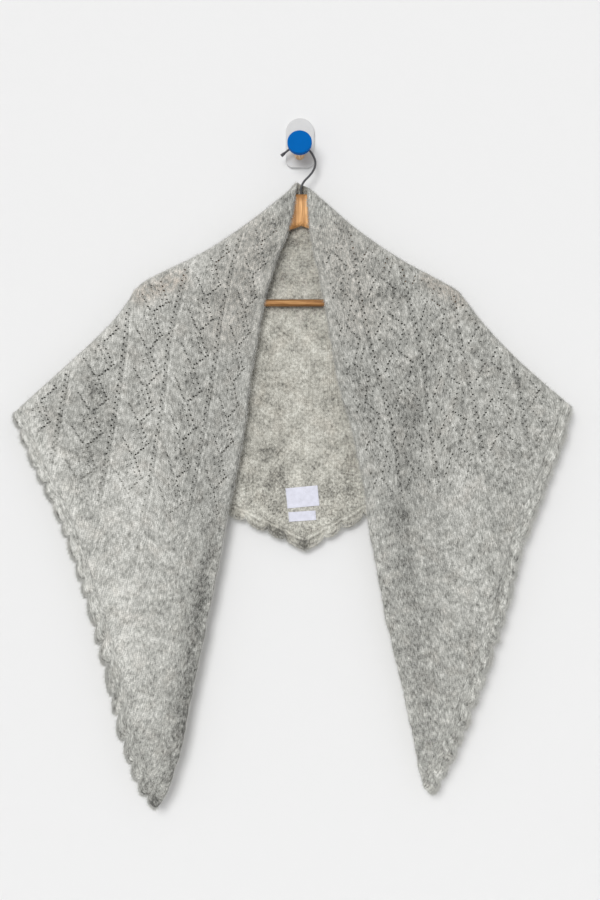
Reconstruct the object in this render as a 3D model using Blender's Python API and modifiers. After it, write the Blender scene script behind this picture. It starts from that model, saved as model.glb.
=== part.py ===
"""Triangular lace shawl, folded over a wooden hanger that hangs from a wall hook.

Sizes are in millimetres and are turned into metres where a mesh is made. The origin is the middle of
the wall plate's back face, +Y points into the wall, +X to the right and +Z up.

The shawl is one triangle, knitted sideways: its long plain edge runs from tip to tip, and its two legs
carry a scalloped edging. Each half is folded along a line from the neck to an outer corner, so that it
has a stretch behind the hanger and a stretch in front of it. A place on a half is given by
  p  the share of the way from the neck (0) to the scalloped leg (1), and
  q  the share of the way from the crest of the fold (0) to the stretch's far side (1): the plain edge
     in front, the middle line behind.
"""
import math
from collections import namedtuple

import bmesh
import bpy
import numpy as np
from mathutils import Matrix, Vector

MM = 0.001
NAME = "lace_shawl"

# Cloth
WALL = 2.0
SEAM = 0.3
CREST_SEAM = 0.6      # measured in the middle of the wall, which bends there
FOLD_PLANE = -22.0
EDGING_WIDTH = 17.0
LEG_SPAN = 0.06       # share of a leg over which its direction is measured
CREST_BLEND = 0.1
SCALLOP_PITCH = 28.5
SCALLOP_DEPTH = 5.0
SCALLOP_COLUMNS = (0.0, 0.07, 0.26, 0.5, 0.74, 0.93)
NECK_MIDDLE = (3.7, -61.4)
BACK_POINT = (6.8, -558.4)
FRONT, BACK = -1, 1

# Half the space between the two layers: (distance from the middle, half space)
LAYER_SPACE = (
    (0, 9.0),
    (225, 9.0),
    (300, 7.4),
    (400, 6.0),
)

Half = namedtuple("Half", "name side neck crest plain_edge bow folds fold_reach tip_reach")

# crest and plain_edge: (reach from the neck, lean from the vertical in degrees)
# bow: (place along the front leg, swelling of the leg as a share of its reach)
# folds: (top x, top z, foot x, foot z, height, half width), height < 0 for a trough
LEFT = Half(
    name="left",
    side=-1,
    neck=(-2.7, -60.4),
    crest=((0, 52.5), (57, 51.6), (103, 52.4), (153, 54.0), (213, 56.7), (243, 57.5), (262, 57.1),
           (278, 55.5), (311, 53.5), (349, 52.5), (408, 51.8), (499, 51.1)),
    plain_edge=((0, 9.0), (71, 12.5), (105, 16.0), (136, 16.5), (197, 15.4), (247, 14.1), (380, 12.1),
                (560, 11.8), (780, 11.7), (841, 12.2), (872, 12.9)),
    bow=((0, 0.0), (0.11, -0.003), (0.32, -0.023), (0.50, -0.015), (0.70, 0.011), (0.80, 0.027),
         (0.90, 0.025), (0.95, 0.013), (1, 0.0)),
    folds=((-216, -232, -236, -540, 3.2, 30), (-176, -250, -196, -640, -2.2, 26),
           (-118, -215, -168, -700, 3.0, 34), (-280, -330, -262, -560, -1.8, 24),
           (-150, -600, -184, -860, 2.6, 20)),
    fold_reach=499.0,
    tip_reach=872.0,
)
RIGHT = Half(
    name="right",
    side=1,
    neck=(10.2, -64.4),
    crest=((0, 50.0), (68, 48.8), (113, 50.3), (162, 52.2), (219, 54.7), (247, 55.3), (263, 54.3),
           (296, 52.4), (332, 51.2), (389, 50.4), (467, 50.2)),
    plain_edge=((0, 1.5), (61, 4.1), (94, 6.4), (125, 8.2), (181, 8.7), (238, 8.9), (360, 10.6),
                (420, 10.7), (480, 10.2), (569, 10.2), (708, 10.8), (826, 10.9), (845, 11.8)),
    bow=((0, 0.0), (0.09, 0.010), (0.20, 0.009), (0.35, 0.003), (0.45, 0.016), (0.56, 0.025),
         (0.70, 0.027), (0.84, 0.022), (0.94, 0.008), (1, 0.0)),
    folds=((212, -236, 226, -520, 3.0, 30), (172, -262, 186, -560, -2.4, 26),
           (128, -240, 158, -640, 2.8, 32), (270, -330, 250, -600, 1.8, 24),
           (196, -560, 178, -840, -2.4, 22)),
    fold_reach=467.0,
    tip_reach=845.0,
)

# Rows of the knitted part: (reach along the left crest, rows from there to the next)
ROW_RUNS = ((12, 8), (205, 7), (300, 7))
# Columns from the crest, as shares of its rounding, and the number of columns past it
FOLD_COLUMNS = (0.0, 0.24, 0.48, 0.72, 0.95, 1.0)
COLUMNS = {FRONT: 14, BACK: 7}

# Hanger
BOARD_THICKNESS = 12.0
BOARD_ROUNDING = 5.4
BOARD_CLEARANCE = 1.1
ARM_HEIGHT = 27.0
ARM_REACH = {"left": 258.0, "right": 250.0}
ARM_ROOT_REACH = 34.0
NECK_TOP = -73.5
NECK_LEFT = -6.0
NECK_RIGHT = 11.0
UNDERSIDE_APEX = (2.0, -116.4)
UNDERSIDE_SHOULDER = (19.0, -122.8)
ARM_STEPS = 11
BAR_DIAMETER = 10.0
BAR_HEIGHT = -221.0
BAR_LEFT = -211.0
BAR_RIGHT = 208.0

# Steel hook
WIRE = 3.0
WIRE_X = 1.5
WIRE_FOOT = -92.0
# (x, z, thickening)
WIRE_ROUTE = (
    (-25.5, -21.2, 1.5),
    (-22.6, -19.0, 1.5),
    (-20.0, -16.8, 1.0),
    (-12.5, -10.9, 1.0),
    (-1.0, -4.6, 1.0),
    (9.0, -10.0, 1.0),
    (18.4, -22.0, 1.0),
    (20.9, -31.3, 1.0),
    (18.2, -40.9, 1.0),
    (12.0, -49.2, 1.0),
    (5.0, -56.8, 1.0),
    (WIRE_X, -65.0, 1.0),
    (WIRE_X, -70.0, 1.0),
    (WIRE_X, WIRE_FOOT, 1.0),
)

# Wall hook
PLATE_WIDTH = 39.0
PLATE_HEIGHT = 68.0
PLATE_THICKNESS = 6.0
PLATE_FOOT_RADIUS = 10.0
PLATE_ROUNDING = 1.2
PEG_DIAMETER = 14.0
PEG_FOOT = (-0.5, -16.7)
PEG_RISE = math.radians(11.7)
PEG_LENGTH = 36.0
KNOB_DIAMETER = 33.0
KNOB_THICKNESS = 9.0
KNOB_ROUNDING = 1.4

# Labels: (middle x, middle z, width, height, rise in degrees)
LABEL_THICKNESS = 0.8
LABELS = {
    "label": (3.3, -484.5, 43.8, 27.5, 5.5),
    "care_label": (3.0, -510.7, 37.0, 13.0, 3.8),
}

# Colour, roughness and metallic value of each finish
FINISHES = {
    "knit": ((0.46, 0.46, 0.44), 0.95, 0.0),
    "edging": ((0.42, 0.42, 0.40), 0.95, 0.0),
    "label": ((0.88, 0.88, 0.88), 0.75, 0.0),
    "wood": ((0.70, 0.40, 0.17), 0.50, 0.0),
    "bar": ((0.58, 0.24, 0.07), 0.50, 0.0),
    "steel": ((0.10, 0.10, 0.11), 0.35, 1.0),
    "plate": ((0.74, 0.74, 0.74), 0.55, 0.0),
    "knob": ((0.0, 0.13, 0.55), 0.35, 0.0),
}


def collection(name):
    made = bpy.data.collections.new(name)
    bpy.context.scene.collection.children.link(made)
    return made


def finish(obj, key):
    """Give an object a Principled material of its own."""
    colour, roughness, metallic = FINISHES[key]
    made = bpy.data.materials.new(f"{obj.name}_{key}")
    made.use_nodes = True
    shader = made.node_tree.nodes["Principled BSDF"]
    shader.inputs["Base Color"].default_value = (*colour, 1.0)
    shader.inputs["Roughness"].default_value = roughness
    shader.inputs["Metallic"].default_value = metallic
    obj.data.materials.clear()
    obj.data.materials.append(made)


def place(name, data, parts):
    obj = bpy.data.objects.new(name, data)
    parts.objects.link(obj)
    return obj


def along(table, place_along):
    """Smooth curve through a table's rows of place and value, with no overshoot."""
    places, values = np.array(table, float).T
    steps = np.diff(places)
    slopes = np.diff(values) / steps
    product = slopes[1:] * slopes[:-1]
    total = slopes[1:] + slopes[:-1]
    turning = np.where(product > 0, 2 * product / np.where(total == 0, 1, total), 0)
    tangents = np.concatenate([slopes[:1], turning, slopes[-1:]])
    x = np.clip(place_along, places[0], places[-1])
    i = np.clip(np.searchsorted(places, x, side="right") - 1, 0, len(steps) - 1)
    t = (x - places[i]) / steps[i]
    rise = t * t * (3 - 2 * t)
    start = t * (1 - t) ** 2 * steps[i] * tangents[i]
    end = t * t * (t - 1) * steps[i] * tangents[i + 1]
    return values[i] + (values[i + 1] - values[i]) * rise + start + end


# ---------------------------------------------------------------------------------------------- cloth

def from_neck(half, reach, lean):
    """Place in the fold's plane at a reach from the neck, leaning from the vertical."""
    angle = np.radians(lean)
    x = half.neck[0] + half.side * reach * np.sin(angle)
    z = half.neck[1] - reach * np.cos(angle)
    return np.stack([x, z], -1)


def crest_at(half, p):
    reach = p * half.fold_reach
    return from_neck(half, reach, along(half.crest, reach))


def far_side(half, layer, p):
    """Where the stretch ends: the plain edge in front, the middle line behind."""
    if layer == FRONT:
        reach = p * half.tip_reach
        return from_neck(half, reach, along(half.plain_edge, reach))
    p = np.asarray(p, float)[..., None]
    return (1 - p) * np.array(NECK_MIDDLE) + p * np.array(BACK_POINT)


def fold_width(half, layer, p):
    """Distance of a stretch's far side from the crest."""
    neck = np.array(half.neck)
    crest = crest_at(half, p) - neck
    far = far_side(half, layer, p) - neck
    cross = crest[..., 0] * far[..., 1] - crest[..., 1] * far[..., 0]
    return np.abs(cross) / np.hypot(crest[..., 0], crest[..., 1])


def soft_folds(half, x, z):
    """Depth of the hanging folds of a front."""
    depth = np.zeros_like(x)
    for top_x, top_z, foot_x, foot_z, height, half_width in half.folds:
        run = np.array([foot_x - top_x, foot_z - top_z])
        length = math.hypot(*run)
        share = ((x - top_x) * run[0] + (z - top_z) * run[1]) / length ** 2
        aside = ((x - top_x) * run[1] - (z - top_z) * run[0]) / length
        fade = np.clip(np.minimum(share + 0.15, 1.35 - share) / 0.3, 0, 1)
        depth += height * np.exp(-(aside / half_width) ** 2) * fade * fade * (3 - 2 * fade)
    return depth


def cloth(half, layer, p, q):
    """Middle of the wall at p and q, in millimetres."""
    p, q = np.broadcast_arrays(np.asarray(p, float), np.asarray(q, float))
    crest = crest_at(half, p)
    far = far_side(half, layer, p)
    space = along(LAYER_SPACE, np.abs(crest[..., 0]))
    width = fold_width(half, layer, p)
    round_crest = space * math.pi / 2

    def below_crest(distance):
        turn = np.minimum(distance / space, math.pi / 2)
        return space * (1 - np.cos(turn)) + np.maximum(distance - round_crest, 0)

    distance = q * width
    slack = width - below_crest(width)
    share = (below_crest(distance) + slack * q) / width
    point = crest + (far - crest) * share[..., None]
    if layer == FRONT:
        neck = np.array(half.neck)
        point = neck + (point - neck) * (1 + along(half.bow, q))[..., None]
    x, z = point[..., 0], point[..., 1]
    turn = np.sin(np.minimum(distance / space, math.pi / 2))
    depth = along(LAYER_SPACE, np.abs(x)) * turn
    if layer == FRONT:
        depth = depth + soft_folds(half, x, z) * turn
    return np.stack([x, FOLD_PLANE + layer * depth, z], -1)


def round_end(half, layer, p):
    """Value of q where the rounding of the crest ends and the cloth hangs straight."""
    width = fold_width(half, layer, p)
    space = along(LAYER_SPACE, abs(crest_at(half, p)[0]))
    return min(space * math.pi / 2, width / 2) / width


def round_places(half, layer, p):
    return round_end(half, layer, p) * np.array(FOLD_COLUMNS)


def straight_places(half, layer, p):
    start = round_end(half, layer, p) + SEAM / fold_width(half, layer, p)
    return np.linspace(start, 1, COLUMNS[layer] + 1)


def leg_distance(half, layer, q):
    """Distance from the neck to the line that the leg follows at q."""
    q = np.clip(q, LEG_SPAN, 1)
    before = cloth(half, layer, 1.0, q - LEG_SPAN)
    after = cloth(half, layer, 1.0, np.minimum(q + LEG_SPAN, 1))
    run = (after - before)[..., ::2]
    reach = cloth(half, layer, 1.0, q)[..., ::2] - np.array(half.neck)
    square = np.abs(run[..., 0] * reach[..., 1] - run[..., 1] * reach[..., 0])
    return square / np.hypot(run[..., 0], run[..., 1])


def from_rim(half, layer, q, width):
    """Value of p at a distance inside the leg. Both stretches give the same one at the crest."""
    crest = (leg_distance(half, FRONT, 0) + leg_distance(half, BACK, 0)) / 2
    share = np.clip(q / CREST_BLEND, 0, 1)
    return 1 - width / (crest * (1 - share) + leg_distance(half, layer, q) * share)


def rows():
    """Shares of the knitted part's depth for its rows, closest at the hanger's ends."""
    starts = [reach / LEFT.fold_reach for reach, _ in ROW_RUNS] + [1.0]
    runs = [np.linspace(starts[i], starts[i + 1], count, endpoint=False)
            for i, (_, count) in enumerate(ROW_RUNS)]
    return np.concatenate(runs + [[1.0]])


def knitted(half, layer, row, q):
    """Places in one row of the knitted part, which ends at the edging."""
    return cloth(half, layer, row * from_rim(half, layer, q, EDGING_WIDTH + SEAM), q)


def wall(name, grid, key, parts):
    """Cloth on a grid of places, with the wall's thickness."""
    count = grid.shape[1]
    faces = [(i * count + j, i * count + j + 1, (i + 1) * count + j + 1, (i + 1) * count + j)
             for i in range(grid.shape[0] - 1) for j in range(count - 1)]
    mesh = bpy.data.meshes.new(name)
    mesh.from_pydata((grid.reshape(-1, 3) * MM).tolist(), [], faces)
    mesh.shade_smooth()
    obj = place(name, mesh, parts)
    thickness = obj.modifiers.new("wall", "SOLIDIFY")
    thickness.thickness = WALL * MM
    thickness.offset = 0.0
    finish(obj, key)
    return obj


def build_fold(half, parts):
    """The stretch that is bent over the hanger's arm and on to the outer corner."""
    grid = []
    for row in rows():
        behind, before = (knitted(half, layer, row, round_places(half, layer, row))
                          for layer in (BACK, FRONT))
        grid.append(np.concatenate([behind[:0:-1], [(behind[0] + before[0]) / 2], before[1:]]))
    wall(f"fold_{half.name}", np.array(grid), "knit", parts)


def build_front(half, parts):
    grid = [knitted(half, FRONT, row, straight_places(half, FRONT, row)) for row in rows()]
    wall(f"front_{half.name}", np.array(grid), "knit", parts)


def build_back(parts):
    grid = []
    for row in rows():
        left, right = (knitted(half, BACK, row, straight_places(half, BACK, row))
                       for half in (LEFT, RIGHT))
        middle = (left[-1] + right[-1]) / 2
        grid.append(np.concatenate([left[:-1], [middle], right[-2::-1]]))
    wall("back", np.array(grid), "knit", parts)


def scallop(share):
    """Height of a shell's rim over its notches, 0 to 1."""
    return np.sqrt(np.clip(1 - (2 * share - 1) ** 2, 0, 1))


def knitted_border(half, layer, q):
    """The edging's inner side, which runs from column to column of the knitted part."""
    columns = np.concatenate([round_places(half, layer, 1.0), straight_places(half, layer, 1.0)])
    knots = cloth(half, layer, from_rim(half, layer, columns, EDGING_WIDTH), columns)
    return np.stack([np.interp(q, columns, knots[:, axis]) for axis in range(3)], -1)


def build_edging(half, layer, parts):
    """Strip along one leg with a row of shells, between the crest and the stretch's far side."""
    leg = math.dist(crest_at(half, 1.0), far_side(half, layer, 1.0))
    count = round(leg / SCALLOP_PITCH)
    start, end = CREST_SEAM / 2 / leg, 1 - SEAM / 2 / leg
    near = start + round_places(half, layer, 1.0)
    shells = np.array([i + share for i in range(count) for share in SCALLOP_COLUMNS]) / count
    shells = shells[(shells > near[-1] + SCALLOP_COLUMNS[1] / count) & (shells < end)]
    q = np.concatenate([near, shells, [end]])
    rim = from_rim(half, layer, q, SCALLOP_DEPTH * (1 - scallop(q * count % 1)))
    grid = np.array([knitted_border(half, layer, q), cloth(half, layer, rim, q)])
    stretch = "front" if layer == FRONT else "back"
    wall(f"edging_{stretch}_{half.name}", grid, "edging", parts)


def build_label(name, parts):
    x, z, width, height, rise = LABELS[name]
    face = FOLD_PLANE + along(LAYER_SPACE, 0.0) - WALL / 2 - SEAM
    mesh = bpy.data.meshes.new(name)
    shape = bmesh.new()
    bmesh.ops.create_cube(shape, size=1.0)
    size = Vector((width, LABEL_THICKNESS, height)) * MM
    bmesh.ops.scale(shape, vec=size, verts=shape.verts)
    shape.to_mesh(mesh)
    shape.free()
    obj = place(name, mesh, parts)
    obj.location = Vector((x, face - LABEL_THICKNESS / 2, z)) * MM
    obj.rotation_euler = (0.0, -math.radians(rise), 0.0)
    finish(obj, "label")


# --------------------------------------------------------------------------------------------- hanger

def board(name, outline, thickness, rounding, depth, parts):
    """Flat board with rounded edges, from its outline in x and z."""
    curve = bpy.data.curves.new(name, "CURVE")
    curve.dimensions = "2D"
    curve.fill_mode = "BOTH"
    curve.extrude = (thickness / 2 - rounding) * MM
    curve.bevel_depth = rounding * MM
    curve.bevel_resolution = 2
    curve.offset = -rounding * MM
    spline = curve.splines.new("POLY")
    spline.points.add(len(outline) - 1)
    for point, (x, z) in zip(spline.points, outline):
        point.co = (x * MM, z * MM, 0.0, 1.0)
    spline.use_cyclic_u = True
    guide = bpy.data.objects.new(name + "_outline", curve)
    parts.objects.link(guide)
    guide.rotation_euler = (math.pi / 2, 0.0, 0.0)
    guide.location = (0.0, depth * MM, 0.0)
    return as_mesh(guide, name, parts)


def as_mesh(guide, name, parts):
    """Closed mesh from a curve object, which is removed."""
    bpy.context.view_layer.update()
    graph = bpy.context.evaluated_depsgraph_get()
    mesh = bpy.data.meshes.new_from_object(guide.evaluated_get(graph))
    mesh.name = name
    shape = bmesh.new()
    shape.from_mesh(mesh)
    bmesh.ops.remove_doubles(shape, verts=shape.verts, dist=1e-6)
    shape.to_mesh(mesh)
    shape.free()
    obj = place(name, mesh, parts)
    obj.matrix_world = guide.matrix_world.copy()
    bpy.data.objects.remove(guide)
    return obj


def arm_top(half):
    """Upper edge of an arm, just under the cloth's crest, from the neck outwards."""
    reach = np.linspace(ARM_ROOT_REACH, ARM_REACH[half.name], ARM_STEPS)
    crest = crest_at(half, reach / half.fold_reach)
    run = np.gradient(crest, axis=0)
    run /= np.hypot(run[:, 0], run[:, 1])[:, None]
    down = np.stack([run[:, 1], -run[:, 0]], -1) * half.side
    return crest + down * (WALL / 2 + BOARD_CLEARANCE)


def arm_outline(half):
    """Outline of one arm from the neck's top, round its end and back to the underside's shoulder."""
    top = arm_top(half)
    end = top[-1]
    corner = end + np.array([half.side * 3.0, -8.0])
    foot = end + np.array([half.side * -6.0, -ARM_HEIGHT + 2.0])
    heel = end + np.array([half.side * -16.0, -ARM_HEIGHT])
    shoulder = np.array([UNDERSIDE_APEX[0] + half.side * (UNDERSIDE_SHOULDER[0] - UNDERSIDE_APEX[0]),
                         UNDERSIDE_SHOULDER[1]])
    share = np.linspace(0, 1, ARM_STEPS)[1:, None]
    rounding = top[ARM_STEPS // 2] + np.array([0.0, -ARM_HEIGHT - 3.0])
    underside = (1 - share) ** 2 * heel + 2 * share * (1 - share) * rounding + share ** 2 * shoulder
    middle = (corner + foot) / 2 + np.array([half.side * 2.5, -1.5])
    return np.concatenate([top, [corner, middle, foot, heel], underside])


def cylinder(name, radius, length, matrix, parts, vertices=24):
    """Cylinder along the matrix's own Z, starting at its origin."""
    mesh = bpy.data.meshes.new(name)
    shape = bmesh.new()
    middle = Matrix.Translation((0.0, 0.0, length * MM / 2))
    bmesh.ops.create_cone(shape, cap_ends=True, segments=vertices, radius1=radius * MM,
                          radius2=radius * MM, depth=length * MM, matrix=middle)
    shape.to_mesh(mesh)
    shape.free()
    mesh.shade_smooth()
    mesh.set_sharp_from_angle(angle=math.radians(40))
    obj = place(name, mesh, parts)
    obj.matrix_world = matrix
    return obj


def cut(obj, cutter):
    cutter.hide_render = True
    cutter.display_type = "WIRE"
    bore = obj.modifiers.new(cutter.name, "BOOLEAN")
    bore.operation = "DIFFERENCE"
    bore.object = cutter
    bore.solver = "EXACT"


def build_hanger(parts, cutters):
    left, right = arm_outline(LEFT), arm_outline(RIGHT)
    neck = [(NECK_LEFT, NECK_TOP), (NECK_RIGHT, NECK_TOP)]
    outline = np.concatenate([neck, right, [UNDERSIDE_APEX], left[::-1]])
    hanger = board("hanger", outline, BOARD_THICKNESS, BOARD_ROUNDING, FOLD_PLANE, parts)
    finish(hanger, "wood")
    lengthwise = Matrix.Rotation(math.pi / 2, 4, "Y")
    start = Matrix.Translation(Vector((BAR_LEFT, FOLD_PLANE, BAR_HEIGHT)) * MM)
    bar = cylinder("crossbar", BAR_DIAMETER / 2, BAR_RIGHT - BAR_LEFT, start @ lengthwise, parts, 16)
    finish(bar, "bar")
    socket_start = Matrix.Translation(Vector((BAR_LEFT - SEAM, FOLD_PLANE, BAR_HEIGHT)) * MM)
    cut(hanger, cylinder("bar_socket", BAR_DIAMETER / 2 + SEAM, BAR_RIGHT - BAR_LEFT + 2 * SEAM,
                         socket_start @ lengthwise, cutters, 16))
    bore_start = Matrix.Translation(Vector((WIRE_X, FOLD_PLANE, WIRE_FOOT - SEAM)) * MM)
    cut(hanger, cylinder("wire_bore", WIRE / 2 + SEAM, NECK_TOP - WIRE_FOOT + 5.0, bore_start,
                         cutters, 12))


def build_hanger_hook(parts):
    curve = bpy.data.curves.new("hanger_hook", "CURVE")
    curve.dimensions = "3D"
    curve.bevel_depth = WIRE / 2 * MM
    curve.bevel_resolution = 2
    curve.resolution_u = 4
    curve.use_fill_caps = True
    spline = curve.splines.new("BEZIER")
    spline.bezier_points.add(len(WIRE_ROUTE) - 1)
    for point, (x, z, thickening) in zip(spline.bezier_points, WIRE_ROUTE):
        point.co = Vector((x, FOLD_PLANE, z)) * MM
        point.radius = thickening
        point.handle_left_type = "AUTO"
        point.handle_right_type = "AUTO"
    finish(place("hanger_hook", curve, parts), "steel")


# ------------------------------------------------------------------------------------------ wall hook

def arc(centre, radius, start, end, steps):
    turns = np.radians(np.linspace(start, end, steps))
    return [(centre[0] + radius * math.cos(t), centre[1] + radius * math.sin(t)) for t in turns]


def build_wall_plate(parts):
    half = PLATE_WIDTH / 2
    top = PLATE_HEIGHT / 2 - half
    foot = -PLATE_HEIGHT / 2 + PLATE_FOOT_RADIUS
    aside = half - PLATE_FOOT_RADIUS
    outline = (arc((0, top), half, 0, 180, 21)
               + arc((-aside, foot), PLATE_FOOT_RADIUS, 180, 270, 8)
               + arc((aside, foot), PLATE_FOOT_RADIUS, 270, 360, 8))
    plate = board("wall_plate", outline, PLATE_THICKNESS, PLATE_ROUNDING, -PLATE_THICKNESS / 2, parts)
    finish(plate, "plate")


def build_peg_and_knob(parts):
    """Peg that rises from the plate, with its foot cut flush to it, and the disc on its end."""
    forward = Matrix.Rotation(math.pi / 2 - PEG_RISE, 4, "X")
    foot = Matrix.Translation(Vector((PEG_FOOT[0], -PLATE_THICKNESS, PEG_FOOT[1])) * MM)
    peg = cylinder("peg", PEG_DIAMETER / 2, PEG_LENGTH, foot @ forward, parts)
    axis = Vector((0.0, -math.cos(PEG_RISE), math.sin(PEG_RISE)))
    back = peg.matrix_world.inverted()
    for vertex in peg.data.vertices:
        if vertex.co.z < PEG_LENGTH * MM / 2:
            world = peg.matrix_world @ vertex.co
            world += axis * ((world.y + (PLATE_THICKNESS + SEAM) * MM) / math.cos(PEG_RISE))
            vertex.co = back @ world
    finish(peg, "wood")
    seat = foot @ forward @ Matrix.Translation((0.0, 0.0, (PEG_LENGTH + SEAM) * MM))
    knob = cylinder("knob", KNOB_DIAMETER / 2, KNOB_THICKNESS, seat, parts, 40)
    rounding = knob.modifiers.new("rounding", "BEVEL")
    rounding.width = KNOB_ROUNDING * MM
    rounding.segments = 2
    rounding.limit_method = "ANGLE"
    finish(knob, "knob")


def main():
    for obj in list(bpy.data.objects):
        bpy.data.objects.remove(obj)
    parts = collection(NAME)
    cutters = collection(NAME + "_cutters")
    build_back(parts)
    for half in (LEFT, RIGHT):
        build_fold(half, parts)
        build_front(half, parts)
        for layer in (FRONT, BACK):
            build_edging(half, layer, parts)
    for name in LABELS:
        build_label(name, parts)
    build_hanger(parts, cutters)
    build_hanger_hook(parts)
    build_wall_plate(parts)
    build_peg_and_knob(parts)


main()
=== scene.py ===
"""Looks of the lace shawl, its hanger and its wall hook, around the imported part. Sizes are in millimetres."""

import math
from collections import namedtuple

import bpy
import numpy as np
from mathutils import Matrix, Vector


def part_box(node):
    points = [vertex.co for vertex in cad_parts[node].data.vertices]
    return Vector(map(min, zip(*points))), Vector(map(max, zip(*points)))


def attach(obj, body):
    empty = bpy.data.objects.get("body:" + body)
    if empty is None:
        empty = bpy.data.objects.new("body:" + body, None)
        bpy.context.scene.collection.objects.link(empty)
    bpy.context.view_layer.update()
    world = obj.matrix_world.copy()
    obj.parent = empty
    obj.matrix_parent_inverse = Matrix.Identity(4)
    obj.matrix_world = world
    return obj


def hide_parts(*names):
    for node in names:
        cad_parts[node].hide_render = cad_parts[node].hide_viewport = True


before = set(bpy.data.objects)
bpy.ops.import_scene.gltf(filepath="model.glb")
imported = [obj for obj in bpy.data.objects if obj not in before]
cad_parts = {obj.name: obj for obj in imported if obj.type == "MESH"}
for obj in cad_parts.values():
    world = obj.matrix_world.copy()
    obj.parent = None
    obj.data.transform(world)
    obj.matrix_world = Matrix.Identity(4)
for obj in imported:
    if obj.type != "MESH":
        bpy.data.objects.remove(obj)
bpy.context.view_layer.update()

MM = 0.001
FRONT, BACK = -1, 1
LAYER_NAMES = {FRONT: "front", BACK: "back"}


# ---- form of the cloth: the sizes and functions of the solids, with a thinner wall

WALL = 1.8
FOLD_PLANE = -22.0
EDGING_WIDTH = 17.0
LEG_SPAN = 0.06         # a leg's line is taken over this share of q on both sides
CREST_BLEND = 0.1       # both layers' legs agree at the crest, and differ from this q on
SCALLOP_PITCH = 28.5
NECK_MIDDLE = (3.7, -61.4)
BACK_POINT = (6.8, -558.4)
DEPTH = 497.0           # from the plain edge to the back point, in the flat
NECK_REACH = 2.0        # the cloth starts this far from the neck
LAYER_SPACE = ((0, 9.0), (225, 9.0), (300, 7.4), (400, 6.0))    # from the fold's plane, by distance aside
FOLD_START = -0.15      # a soft fold starts and ends beyond its top and foot, in shares of its length
FOLD_END = 1.35
FOLD_FADE = 0.3

# fold_lean: the fold's direction from the plain edge, in the flat.
# neck_offset: from a half's neck to the middle line, in the flat.
# columns: stitch number and distance from the plain edge. row_pitch: height of a stitch.
# row_spread: distance from the plain edge, and share by which rows spread from row_centre.
Half = namedtuple("Half", "name side neck crest plain_edge bow folds fold_reach tip_reach fold_lean "
                          "neck_offset columns row_pitch row_centre row_spread")
LEFT = Half(
    name="left", side=-1, neck=(-2.7, -60.4),
    crest=((0, 52.5), (57, 51.6), (103, 52.4), (153, 54.0), (213, 56.7), (243, 57.5), (262, 57.1),
           (278, 55.5), (311, 53.5), (349, 52.5), (408, 51.8), (499, 51.1)),
    plain_edge=((0, 9.0), (71, 12.5), (105, 16.0), (136, 16.5), (197, 15.4), (247, 14.1),
                (380, 12.1), (560, 11.8), (780, 11.7), (841, 12.2), (872, 12.9)),
    bow=((0, 0.0), (0.11, -0.003), (0.32, -0.023), (0.50, -0.015), (0.70, 0.011), (0.80, 0.027),
         (0.90, 0.025), (0.95, 0.013), (1, 0.0)),
    folds=((-216, -232, -236, -540, 3.2, 30), (-176, -250, -196, -640, -2.2, 26),
           (-118, -215, -168, -700, 3.0, 34), (-280, -330, -262, -560, -1.8, 24),
           (-150, -600, -184, -860, 2.6, 20)),
    fold_reach=499.0, tip_reach=872.0, fold_lean=38.2, neck_offset=6.4,
    columns=((0, 0), (22, 55.5), (43, 108), (64, 169), (85, 241), (106, 308), (127, 372),
             (148, 434), (171, 497)),
    row_pitch=2.62, row_centre=211.0, row_spread=((0, 0.05), (60, 0.05), (115, -0.04), (497, -0.04)),
)
RIGHT = Half(
    name="right", side=1, neck=(10.2, -64.4),
    crest=((0, 50.0), (68, 48.8), (113, 50.3), (162, 52.2), (219, 54.7), (247, 55.3), (263, 54.3),
           (296, 52.4), (332, 51.2), (389, 50.4), (467, 50.2)),
    plain_edge=((0, 1.5), (61, 4.1), (94, 6.4), (125, 8.2), (181, 8.7), (238, 8.9), (360, 10.6),
                (420, 10.7), (480, 10.2), (569, 10.2), (708, 10.8), (826, 10.9), (845, 11.8)),
    bow=((0, 0.0), (0.09, 0.010), (0.20, 0.009), (0.35, 0.003), (0.45, 0.016), (0.56, 0.025),
         (0.70, 0.027), (0.84, 0.022), (0.94, 0.008), (1, 0.0)),
    folds=((212, -236, 226, -520, 3.0, 30), (172, -262, 186, -560, -2.4, 26),
           (128, -240, 158, -640, 2.8, 32), (270, -330, 250, -600, 1.8, 24),
           (196, -560, 178, -840, -2.4, 22)),
    fold_reach=467.0, tip_reach=845.0, fold_lean=38.4, neck_offset=6.5,
    columns=((0, 0), (19, 45.5), (40, 95), (61, 155), (82, 221), (103, 287), (124, 352),
             (145, 417), (166, 482), (171, 497)),
    row_pitch=2.75, row_centre=200.0, row_spread=((0, 0.07), (95, 0.06), (155, -0.06), (497, -0.06)),
)


def along(table, place_along):
    """Smooth curve through a table's rows of place and value, with no overshoot."""
    places, values = np.array(table, float).T
    steps = np.diff(places)
    slopes = np.diff(values) / steps
    product = slopes[1:] * slopes[:-1]
    total = slopes[1:] + slopes[:-1]
    turning = np.where(product > 0, 2 * product / np.where(total == 0, 1, total), 0)
    tangents = np.concatenate([slopes[:1], turning, slopes[-1:]])
    x = np.clip(place_along, places[0], places[-1])
    i = np.clip(np.searchsorted(places, x, side="right") - 1, 0, len(steps) - 1)
    t = (x - places[i]) / steps[i]
    rise = t * t * (3 - 2 * t)
    start = t * (1 - t) ** 2 * steps[i] * tangents[i]
    end = t * t * (t - 1) * steps[i] * tangents[i + 1]
    return values[i] + (values[i + 1] - values[i]) * rise + start + end


def ease(low, high, x):
    """Smooth step from 0 at low to 1 at high."""
    t = np.clip((x - low) / (high - low), 0, 1)
    return t * t * (3 - 2 * t)


def hill(x, middle, half_width):
    """1 at the middle, falling to 0 on both sides."""
    return np.exp(-((x - middle) / half_width) ** 2)


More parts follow.
